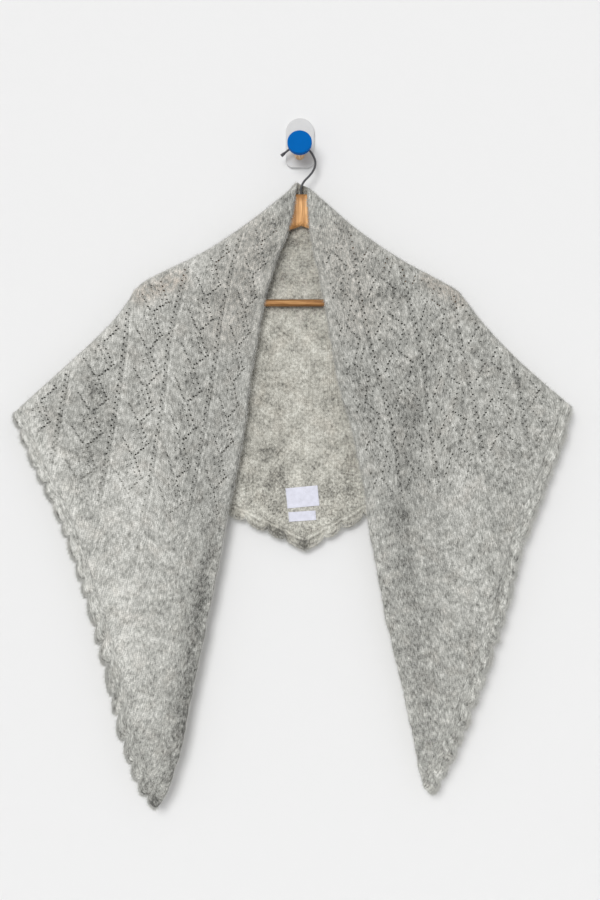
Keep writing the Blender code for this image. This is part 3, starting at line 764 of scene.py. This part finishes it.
def edging(half, layer, materials):
    """Scalloped strip along one leg: a groove and a rib at its join, then uneven shells with a curled rim."""
    leg, count = leg_size(half, layer)
    share = np.linspace(0, 1, count * SHELL_COLUMNS + 1)
    q, across = np.meshgrid(share, np.linspace(0, 1, EDGING_ROWS), indexing="ij")
    place, uneven, rim = shells(half, layer, q)
    in_shell = place % 1
    start = EDGING_WIDTH + TUCK
    p = from_rim(half, layer, q, start + (rim - start) * across)
    front = np.full(q.shape, layer == FRONT)
    middle = hung(half, front, p, q)
    normal = facing(half, *flat(half, front, p, q))
    hem = HEMS[stretch_name(half, layer)]
    noise = lattice_noise(place * 2.6, across * 4, 3)
    slow = lattice_noise(place * 0.9, 0, 17)
    broken = np.clip(0.25 + 1.5 * lattice_noise(place * 0.8, 0, 29), 0, 1)
    strength = hem.relief * (1 - (1 - JOIN_LEFT) * ease(*JOIN_FADE, q) * front)
    calm = 1 - (1 - CALM_LEFT) * ease(*CALM_FADE, q) * front
    groove, rib, second_groove = (hill(across, *band) * strength for band in (GROOVE, RIB, SECOND_GROOVE))
    shell = scallop(in_shell) * hill(across, *SHELL)
    curl = ease(0.76, 1.0, across) * (0.45 + 0.55 * scallop(in_shell))
    height = (RIB_RISE * rib - GROOVE_DROP * (groove * (1 + noise) + second_groove)
              + ((SHELL_RISE + 0.4 * uneven) * shell - (CURL_DROP + 0.6 * uneven) * curl) * calm
              + 0.5 * noise * ease(0.3, 0.6, across))
    fade = 1 - ease(0.97, 1, q) * (layer == BACK)
    height = (height * fade * ease(0, 0.1, across))[..., None]
    thickness = (WALL / 2 * (1 - 0.6 * (1 - ease(0, 0.12, across))))[..., None]
    outer = middle + normal * (thickness + height)
    inner = middle + normal * (height * 0.85 - thickness)
    # painted shade under each curled rim, in the notches and in the grooves, and painted highlight on the rib
    # and in the pale band inside the shells; the rim is paler as well
    crescent_shade = hill(across, *CRESCENT_SHADE) * hill(in_shell, *UNDER_SHELL) * np.clip(0.85 + 0.7 * slow, 0.2, 1.4)
    notch_shade = (1 - scallop(in_shell)) ** 2 * ease(0.55, 0.75, across)
    pale = 0.32 * ease(0.90, 1, across) + 0.22 * hill(across, *PALE_HIGHLIGHT_BAND)
    shade = (hem.rib_tone * rib - hem.groove_tone * groove * broken - 0.25 * second_groove
             - (1.15 * crescent_shade + 0.35 * notch_shade) * hem.curl_tone * (0.4 + 0.6 * calm)
             + pale * (2 * calm - 1) + 0.22 * noise * calm + 0.12 * slow)
    tones_and_shade = tone(stretch_name(half, layer), middle[..., 0], middle[..., 2]) + shade

    total = q.size
    index = np.arange(total).reshape(q.shape)
    quads = np.stack([index[:-1, :-1], index[1:, :-1], index[1:, 1:], index[:-1, 1:]], -1).reshape(-1, 4)
    border = np.concatenate([index[:-1, 0], index[-1, :-1], index[:0:-1, -1], index[0, :0:-1]])
    following = np.roll(border, -1)
    edge = np.stack([following, border, border + total, following + total], -1)
    turned = half.side * layer
    faces = np.concatenate([quads[:, ::-turned], quads[:, ::turned] + total, edge[:, ::-turned]]).tolist()
    face_materials = [0] * len(quads) + [1] * len(quads) + [0] * len(edge)
    uvs = np.stack([across * EDGING_WIDTH / STITCH_WIDTH + FIRST_STITCH, half.side * q * leg / ROW_WIDTH],
                   -1).reshape(-1, 2)
    return mesh_object(f"edging_knit_{LAYER_NAMES[layer]}_{half.name}",
                       np.concatenate([outer, inner]).reshape(-1, 3), faces, np.concatenate([uvs, uvs]),
                       materials, face_materials, values={"tone": np.tile(tones_and_shade.ravel(), 2)})


# ---- loose fibres

# Numbers of fibres on each half: all over, on the leg's rim, on the plain edge and on the fold.
Fibres = namedtuple("Fibres", "spread rim plain_edge fold")
FUZZ = {FRONT: Fibres(28000, 15000, 6000, 6500), BACK: Fibres(12000, 11000, 0, 0)}
# Shortest and longest fibre, width, and steepest angle to the cloth in radians.
Tuft = namedtuple("Tuft", "shortest longest width steepest")
INSIDE = Tuft(3.0, 15.0, 0.12, 0.75)
AT_RIM = Tuft(2.0, 8.5, 0.20, 0.75)
AT_PLAIN_EDGE = Tuft(1.5, 6.0, 0.17, 0.75)
AT_FOLD = Tuft(1.0, 4.2, 0.14, 0.95)
OUTSIDE_SHARE = {FRONT: 0.8, BACK: 0.5}     # of the fibres grow on the cloth's outer side
DROOP = 0.15
MOST_BEND = 0.7
RIBBON_POINTS = 5
SPOTS_PER_FIBRE = 7                 # many of the spots drawn are outside the stretch
FROM_RIM = (0.2, 3.5)               # fibres at a rim start this far inside it
EDGE_SPAN = (0.02, 0.985)           # p and q of the fibres at the plain edge
EDGE_STRIP = (0.995, 1.0)
FOLD_SPAN_END = 0.965               # last p, and widest q, of the fibres at the fold
FOLD_STRIP = 0.012
YARN_UNITS = (2.9, 2.7)             # millimetres in a unit of the fibres' UV map


def ribbons(random, start, heading, outward, lift, lengths, width):
    """Thin curved ribbons from start, that leave the cloth at an angle."""
    outward = unit(outward)
    direction = heading * np.cos(lift)[:, None] + outward * np.sin(lift)[:, None]
    bend = np.cross(outward, heading) * random.uniform(-MOST_BEND, MOST_BEND, len(start))[:, None]
    middle, tip = (start + (direction * share + (bend - outward * DROOP) * share ** 2) * lengths[:, None]
                   for share in (0.5, 1.0))
    across = unit(np.cross(direction, outward + 0.3 * bend + 1e-3)) * width / 2
    return np.stack([start - across, start + across, middle - across * 0.8, middle + across * 0.8, tip],
                    1).reshape(-1, 3)


def tufts(random, half, layer, p, q, kind, off=None):
    """Fibres of a kind that grow at p and q, and their UV places. off turns them towards the nearest edge."""
    total = len(p)
    front = np.full(total, layer == FRONT)
    u, v = flat(half, front, p, q)
    side = np.where(random.random(total) < OUTSIDE_SHARE[layer], 1.0, -1.0)
    depth = side if off is None else side * random.uniform(0.1, 1.0, total)
    normal = facing(half, u, v)
    start = hung(half, front, p, q) + normal * depth[:, None] * WALL / 2
    tangent = unit(hung_from_flat(half, u + 1, v) - hung_from_flat(half, u - 1, v))
    angle = random.uniform(0, 2 * math.pi, total)
    heading = tangent * np.cos(angle)[:, None] + np.cross(normal, tangent) * np.sin(angle)[:, None]
    if off is not None:
        heading = unit(heading * 0.8 + unit(off))
    lengths = kind.shortest + (kind.longest - kind.shortest) * random.random(total) ** 2.6
    lift = random.uniform(0.03, kind.steepest, total) ** 1.3
    points = ribbons(random, start, heading, normal * side[:, None], lift, lengths, kind.width)
    uvs = np.stack([v / YARN_UNITS[0], half.side * u / YARN_UNITS[1]], -1)
    return points, np.repeat(uvs, RIBBON_POINTS, axis=0)


def fuzz(name, halves, layer, random, material):
    """Loose fibres that stand off a stretch of the cloth, its rims and its fold."""
    grown = []
    numbers = FUZZ[layer]
    for half in halves:
        start = NECK_REACH / half.fold_reach
        spots = random.random((numbers.spread * SPOTS_PER_FIBRE, 2))
        u = -half.neck_offset + spots[:, 0] * (half.tip_reach + half.neck_offset)
        front, p, q = folded(half, u, spots[:, 1] * DEPTH)
        good = (front == (layer == FRONT)) & (p < from_rim(half, layer, q, EDGING_WIDTH / 2)) & (p > start)
        grown.append(tufts(random, half, layer, p[good][:numbers.spread], q[good][:numbers.spread], INSIDE))

        q = random.random(numbers.rim)
        _, _, rim = shells(half, layer, q)
        p = from_rim(half, layer, q, rim + random.uniform(*FROM_RIM, numbers.rim))
        middle = hung(half, np.full(len(q), layer == FRONT), p, q)
        off = middle - np.array([half.neck[0], FOLD_PLANE, half.neck[1]])
        grown.append(tufts(random, half, layer, p, q, AT_RIM, off))

        if numbers.plain_edge:
            p = random.uniform(*EDGE_SPAN, numbers.plain_edge)
            q = random.uniform(*EDGE_STRIP, numbers.plain_edge)
            u, v = flat(half, np.full(len(p), True), p, q)
            off = hung_from_flat(half, u, v) - hung_from_flat(half, u, v + 1)
            grown.append(tufts(random, half, layer, p, q, AT_PLAIN_EDGE, off))
        if numbers.fold:
            p = random.uniform(start, FOLD_SPAN_END, numbers.fold)
            q = FOLD_STRIP * random.random(numbers.fold)
            off = np.tile((0.0, 0.0, 1.0), (numbers.fold, 1)) + random.uniform(-0.6, 0.6, (numbers.fold, 3))
            grown.append(tufts(random, half, layer, p, q, AT_FOLD, off))
    points, uvs = (np.concatenate([part[n] for part in grown]) for n in range(2))
    base = np.arange(0, len(points), RIBBON_POINTS)[:, None]
    quads = (base + np.array([0, 1, 3, 2])).tolist()
    tips = (base + np.array([2, 3, 4])).tolist()
    return mesh_object(name, points, quads + tips, uvs, [material])


# ---- materials

def math_node(operation):
    """Method that works a value out with a Math node, from one value or two."""
    def calculate(value, other=0.0):
        return value.finish.node("Math", {0: value, 1: other}, operation=operation)
    return calculate


class Value:
    """What a shader node puts out. What is calculated with it becomes further nodes."""

    def __init__(self, finish, socket):
        self.finish = finish
        self.socket = socket

    __add__ = math_node("ADD")
    __sub__ = math_node("SUBTRACT")
    __mul__ = math_node("MULTIPLY")
    __truediv__ = math_node("DIVIDE")
    __mod__ = math_node("FLOORED_MODULO")
    __pow__ = math_node("POWER")
    __gt__ = math_node("GREATER_THAN")
    at_least = math_node("MAXIMUM")
    fraction = math_node("FRACT")
    magnitude = math_node("ABSOLUTE")
    sine = math_node("SINE")
    cosine = math_node("COSINE")

    def between(self, low, high):
        """0 at low and 1 at high, with no more outside them."""
        return self.finish.node("MapRange", {"Value": self, "From Min": low, "From Max": high})

    def split(self):
        """The three coordinates of a place."""
        separate = self.finish.node("SeparateXYZ", {0: self}).socket.node
        return [Value(self.finish, socket) for socket in separate.outputs]

    def scaled(self, *scale):
        return self.finish.node("Mapping", {"Vector": self, "Scale": scale})

    def noise(self, scale, detail, roughness=0.5, distortion=0.0):
        return self.finish.node("TexNoise", {"Vector": self, "Scale": scale, "Detail": detail,
                                             "Roughness": roughness, "Distortion": distortion})

    def ramp(self, *stops):
        """Colour from stops of place and colour."""
        colour = self.finish.node("ValToRGB", {0: self})
        elements = colour.socket.node.color_ramp.elements
        while len(elements) < len(stops):
            elements.new(0.5)
        for element, (place, stop) in zip(elements, stops):
            element.position = place
            element.color = (*stop, 1.0)
        return colour

    def under(self, share, colour, mode="MIX"):
        """This colour with a share of another over it."""
        if isinstance(colour, tuple):
            colour = (*colour, 1.0)
        return self.finish.node("Mix", {0: share, 6: self, 7: colour}, 2, data_type="RGBA", blend_type=mode)

    def bump(self, strength, distance):
        """Normal of a surface with this height."""
        return self.finish.node("Bump", {"Height": self, "Strength": strength, "Distance": distance})


class Finish:
    """A material, its nodes and its shader's inputs."""

    def __init__(self, name):
        self.material = bpy.data.materials.new(name)
        self.material.use_nodes = True
        self.tree = self.material.node_tree
        self.shader = self.tree.nodes["Principled BSDF"]

    def put(self, made, inputs):
        """Link or set inputs of a node."""
        for key, value in inputs.items():
            if isinstance(value, Value):
                self.tree.links.new(value.socket, made.inputs[key])
            else:
                made.inputs[key].default_value = value

    def node(self, kind, inputs=(), output=0, **settings):
        """Output of a new node."""
        made = self.tree.nodes.new("ShaderNode" + kind)
        for name, setting in settings.items():
            setattr(made, name, setting)
        self.put(made, dict(inputs))
        return Value(self, made.outputs[output])

    def attribute(self, name):
        return self.node("Attribute", output="Fac", attribute_name=name)

    def made_of(self, inputs):
        """The material, with its shader's inputs linked or set."""
        self.put(self.shader, inputs)
        return self.material


# Tone across a ladder, 0.5 where it is even: dark along its two lines, and pale on the stitch inside them.
LADDER_REACH = 4.0
LADDER_PROFILE = ((-4.0, 0.50), (-2.7, 0.50), (-2.1, 0.92), (-1.5, 0.55), (-0.8, 0.16), (-0.2, 0.52),
                  (0.5, 0.36), (1.2, 0.62), (2.2, 0.50), (4.0, 0.50))
LADDER_TONE = 0.30
LEFT_LADDER, RIGHT_LADDER = (float(CHARTS[name].first_stitch % REPEAT_STITCHES) for name in ("left", "right"))
# Noise of the yarn: features in a stitch and in a row and detail of blots, streaks and fibres, amounts of
# clouds, blots, streaks and fibres in the tone, and how much painted shade of the stitches and of the gaps
# between them darkens it.
Grain = namedtuple("Grain", "blots streaks fibres amounts stitch_tone gap_tone")
KNIT_GRAIN = Grain((0.60, 0.36, 3.0), (2.1, 0.40, 3.0), (3.4, 1.0, 2.0), (0.42, 0.64, 0.66, 0.42), 0.22, 0.42)
PURL_GRAIN = Grain((0.62, 0.55, 3.0), (1.05, 1.0, 3.0), (2.2, 2.0, 1.0), (0.66, 0.64, 0.58, 0.24), 0.10, 0.20)
SPECK_TONE = 0.16
WARM_TINT = (1.0, 0.915, 0.86)
WARM_BLOTCHES = 0.24


def wool(name, dark, base, light, purl=False, strength=1.0):
    """Brushed heather knit. The UV map counts stitches across and rows along."""
    finish = Finish(name)
    places = finish.node("UVMap", uv_map="stitches")
    across, along_column, _ = places.split()

    def noise(per_stitch, per_row, detail):
        return places.scaled(per_stitch, per_row, 1.0).noise(1.0, detail, 0.55)

    def wave(value, shift=0.0):
        """Cosine between 0 and 1 with one crest at each whole number."""
        return (value * (2 * math.pi) + shift).cosine() * 0.5 + 0.5

    grain = PURL_GRAIN if purl else KNIT_GRAIN
    clouds = noise(0.15, 0.13, 3.0)
    blots, streaks, fibres = noise(*grain.blots), noise(*grain.streaks), noise(*grain.fibres)
    cloud_tone, blot_tone, streak_tone, fibre_tone = (amount * strength for amount in grain.amounts)
    fine = (streaks - 0.5) * streak_tone + (fibres - 0.5) * fibre_tone
    # tone of the yarn together with painted shade and light, from the mesh
    total = finish.attribute("tone") * 0.26 + 0.5 + (clouds - 0.5) * cloud_tone + (blots - 0.5) * blot_tone
    total = total + fine * (finish.attribute("leaf") * -0.45 + 1.08)

    first = (along_column > 0.0) * (RIGHT_LADDER - LEFT_LADDER) + (LEFT_LADDER - LADDER_REACH)
    from_ladder = (across - first) % REPEAT_STITCHES
    span = 2 * LADDER_REACH
    profile = (from_ladder / span).ramp(*(((place + LADDER_REACH) / span, (level,) * 3)
                                          for place, level in LADDER_PROFILE))
    ladder = (profile - 0.5) * LADDER_TONE * blots.between(0.34, 0.62)
    total = total + ladder * finish.attribute("ladder")
    colour = total.ramp((0.22, dark), (0.50, base), (0.78, light))
    hairs = noise(6.5, 0.8, 1.0)
    colour = colour.under(hairs.between(0.60, 0.9125) * 0.5, light)

    from_middle = (across.fraction() - 0.5).magnitude() * 2.0
    stitch = wave(from_middle * 0.5 + along_column)
    if not purl:
        stitch = stitch * 0.4 + (from_middle * math.pi).sine() * 0.6
    gap = (wave(across) * wave(along_column, math.pi)) ** 2.0 * blots.between(0.38, 0.6657).at_least(0.15)
    height = (fibres + streaks) * 0.9 + stitch - gap * 0.8
    # painted shade: lighter on the stitches' legs, darker between them and in the gaps between stitches
    shade = (stitch - 0.5) * (grain.stitch_tone * strength) + 1.0 - gap * (grain.gap_tone * strength)
    if purl:
        shade = shade - noise(1.7, 1.6, 1.0).between(0.58, 0.72) * SPECK_TONE
    blotches = places.noise(0.11, 2.0).between(0.50, 0.72) * WARM_BLOTCHES
    warmth = blotches.at_least(finish.attribute("warmth") * blots.between(0.30, 0.60))
    colour = colour.under(warmth, WARM_TINT, "MULTIPLY").under(1.0, shade, "MULTIPLY")
    return finish.made_of({
        "Base Color": colour, "Normal": height.bump(0.5, 0.0012), "Roughness": 0.92,
        "Specular IOR Level": 0.15, "Sheen Weight": 0.25, "Sheen Roughness": 0.45,
        "Sheen Tint": (0.95, 0.94, 0.90, 1.0)})


def wood(name, dark, base, light, along_axis, scale, round_bar_shade=None, joint_and_shade=None):
    """Varnished wood with grain along one axis.
    round_bar_shade: middle height and half height of a round bar, whose upper and lower sides are darkened as
    painted shade.
    joint_and_shade: place of a glued joint across, and height that it reaches down to. Painted shade makes the
    wood darker to its left and at its top, where the cloth shades the neck."""
    finish = Finish(name)
    places = finish.node("TexCoord", output="Object")
    x, _, z = places.scaled(*[1 / MM] * 3).split()
    stretch = [scale] * 3
    stretch[along_axis] = scale * 0.05
    grain = places.scaled(*stretch)
    fine = grain.noise(6.0, 3.0, 0.6)
    tone_here = grain.noise(1.0, 4.0, 0.6, 0.4) * 0.65 + fine * 0.35
    if joint_and_shade:
        across, down_to = joint_and_shade
        above = z.between(down_to - 4, down_to)
        # painted shade of the cloth on the neck: darker to the left and at the top
        left = x.between(across - 7, across - 15)
        top = z.between(down_to + 15, down_to + 24) * 1.6
        beside = x.between(across - 0.2, across + 0.2) * above
        tone_here = tone_here + beside * 0.05 - left.at_least(top) * 0.12
    colour = tone_here.ramp((0.36, dark), (0.5, base), (0.62, light))
    colour = colour.under(grain.noise(2.6, 1.0, 0.4).between(0.56, 0.64) * 0.55, dark)
    if round_bar_shade:
        # painted shade on the round bar's upper and lower sides
        middle, reach = round_bar_shade
        colour = colour.under((z - middle).magnitude().between(0.3 * reach, reach) * 0.85, dark)
    if joint_and_shade:
        colour = colour.under((x - across).magnitude().between(0.5, 0.15) * above * 0.5, dark)
    return finish.made_of({
        "Base Color": colour, "Normal": fine.bump(0.12, 0.0004), "Roughness": fine * 0.18 + 0.36,
        "Specular IOR Level": 0.14, "Coat Weight": 0.03, "Coat Roughness": 0.35})


def plain_finish(name, colour, roughness, metallic=0.0, specular=0.5):
    """Moulded or metal surface with a little unevenness in tone and gloss."""
    finish = Finish(name)
    uneven = finish.node("TexCoord", output="Object").noise(90.0, 4.0, 0.6)
    low, high = (tuple(c * share for c in colour) for share in (0.97, 1.03))
    return finish.made_of({
        "Base Color": uneven.ramp((0.3, low), (0.7, high)), "Normal": uneven.bump(0.05, 0.0003),
        "Roughness": uneven * 0.12 + (roughness - 0.06), "Metallic": metallic,
        "Specular IOR Level": specular})


def woven_label(name, colour, width, height):
    """White label: fine taffeta weave, a row of stitches near each side, slight unevenness from wear."""
    finish = Finish(name)
    across, _, up = finish.node("TexCoord", output="Generated").split()

    def threads(place, length, pitch):
        return (place * (length / pitch * 2 * math.pi)).sine()

    weave = threads(across, width, 0.55) * threads(up, height, 0.45)
    worn = finish.node("TexCoord", output="Object").noise(140.0, 3.0)
    from_row = ((across - 0.5).magnitude() - (0.5 - 1.6 / width)).magnitude()
    seam = from_row.between(0.6 / width, 0.25 / width) * threads(up, height, 2.2).between(-0.4, 0.1)
    dark = tuple(c * 0.80 for c in colour)
    shade = (worn * 0.5 + weave * 0.08 + 0.25).ramp((0.30, dark), (0.62, colour))
    return finish.made_of({
        "Base Color": shade.under(seam * 0.45, (0.42, 0.42, 0.46)),
        "Normal": (weave * 0.3 - seam).bump(0.4, 0.0003),
        "Roughness": 0.7, "Specular IOR Level": 0.25, "Sheen Weight": 0.1})


# ---- build

outer_wool = wool("wool_knit_side", (0.085, 0.085, 0.078), (0.410, 0.410, 0.381), (0.84, 0.835, 0.79))
inner_wool = wool("wool_purl_side", (0.14, 0.136, 0.120), (0.485, 0.472, 0.418), (0.82, 0.81, 0.735),
                  purl=True)
fibre_wool = wool("wool_fibres", (0.26, 0.26, 0.25), (0.50, 0.50, 0.475), (0.80, 0.79, 0.75), strength=0.6)
both = [outer_wool, inner_wool]
random = np.random.default_rng(7)
for half in (LEFT, RIGHT):
    for layer, layer_name in LAYER_NAMES.items():
        piece = edging(half, layer, both)
        finish_piece(piece, "edging", f"edging_{layer_name}_{half.name}")


def hang_sheet(name, halves, layer, nodes):
    """Knit and loose fibres of one stretch of the shawl."""
    cloth_piece = finish_piece(knit(name, [(half, layer == FRONT) for half in halves], both), "knit", *nodes)
    loose = finish_piece(fuzz(name.replace("knit", "fuzz"), halves, layer, random, fibre_wool), "knit")


for half in (LEFT, RIGHT):
    fold_u, fold_v = fold_line(half)
    hang_sheet(f"knit_front_{half.name}", [half], FRONT, [f"front_{half.name}", f"fold_{half.name}"])
hang_sheet("knit_back", [LEFT, RIGHT], BACK, ["back"])

bar_low, bar_high = (corner[2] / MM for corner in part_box("crossbar"))
LABEL_WHITE = (0.77, 0.775, 0.875)
finishes = {
    "hanger": wood("hanger_wood", (0.36, 0.175, 0.062), (0.68, 0.36, 0.145), (0.92, 0.55, 0.25), 2, 160.0,
                   joint_and_shade=(6.0, -100.0)),
    "peg": wood("peg_wood", (0.50, 0.30, 0.15), (0.74, 0.49, 0.29), (0.94, 0.71, 0.49), 1, 200.0),
    "crossbar": wood("crossbar_wood", (0.16, 0.07, 0.02), (0.42, 0.205, 0.075), (0.60, 0.34, 0.14), 0, 260.0,
                     round_bar_shade=((bar_low + bar_high) / 2, (bar_high - bar_low) / 2)),
    "hanger_hook": plain_finish("steel", (0.13, 0.13, 0.135), 0.38, metallic=0.9),
    "wall_plate": plain_finish("plate", (0.635, 0.635, 0.635), 0.6, specular=0.3),
    "knob": plain_finish("knob_blue", (0.0, 0.118, 0.425), 0.5, specular=0.03),
    "label": woven_label("label_white", LABEL_WHITE, 44, 28),
    "care_label": woven_label("care_label_white", LABEL_WHITE, 37, 15),
}
for name, material in finishes.items():
    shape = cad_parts[name].data
    shape.materials.clear()
    shape.materials.append(material)


# ---- stage and camera, in metres

FLOOR = -1.35
BEHIND_PLATE = 0.0005
ROOM_SIDE, ROOM_TOP, ROOM_FRONT = 4, 3, -5
WALL_COLOUR = (0.808, 0.808, 0.808)
FLOOR_COLOUR = (0.60, 0.60, 0.60)
CAMERA_PLACE = (0.0, -2.0, -0.4206)
CAMERA_LENS = 58.27


def add(name, data):
    obj = bpy.data.objects.new(name, data)
    bpy.context.scene.collection.objects.link(obj)
    return obj


def one_sided(name, colour):
    """Matt surface that can be seen from its front only."""
    finish = Finish(name)
    material = finish.made_of({"Base Color": (*colour, 1.0), "Roughness": 0.95, "Specular IOR Level": 0.0})
    seen = Value(finish, finish.shader.outputs[0])
    behind = finish.node("NewGeometry", output="Backfacing")
    mixed = finish.node("MixShader", {0: behind, 1: seen, 2: finish.node("BsdfTransparent")})
    finish.put(finish.tree.nodes["Material Output"], {"Surface": mixed})
    return material


def backdrop(name, corners, colour):
    mesh = bpy.data.meshes.new(name)
    mesh.from_pydata(corners, [], [[0, 1, 2, 3]])
    mesh.materials.append(one_sided(name, colour))
    obj = add(name, mesh)
    obj.visible_shadow = False


def sun(name, direction, strength, softness):
    light = bpy.data.lights.new(name, "SUN")
    light.energy = strength
    light.angle = math.radians(softness)
    add(name, light).rotation_euler = Vector(direction).to_track_quat("-Z", "Y").to_euler()


foot = [(-ROOM_SIDE, BEHIND_PLATE, FLOOR), (ROOM_SIDE, BEHIND_PLATE, FLOOR)]
top = [(ROOM_SIDE, BEHIND_PLATE, ROOM_TOP), (-ROOM_SIDE, BEHIND_PLATE, ROOM_TOP)]
near = [(-ROOM_SIDE, ROOM_FRONT, FLOOR), (ROOM_SIDE, ROOM_FRONT, FLOOR)]
backdrop("wall", foot + top, WALL_COLOUR)
backdrop("floor", near + foot[::-1], FLOOR_COLOUR)

world = bpy.data.worlds.new("studio")
world.use_nodes = True
world.node_tree.nodes["Background"].inputs["Color"].default_value = (1.0, 1.0, 1.0, 1.0)
world.node_tree.nodes["Background"].inputs["Strength"].default_value = 0.55
bpy.context.scene.world = world
sun("key", (0.21, 0.92, -0.27), 1.80, 25.0)
sun("behind", (-0.2, -0.8, -0.35), 1.0, 40.0)

camera = add("camera", bpy.data.cameras.new("camera"))
camera.data.lens = CAMERA_LENS
camera.location = CAMERA_PLACE
camera.rotation_euler = (math.pi / 2, 0.0, 0.0)
bpy.context.scene.camera = camera
bpy.context.scene.view_settings.view_transform = "Standard"
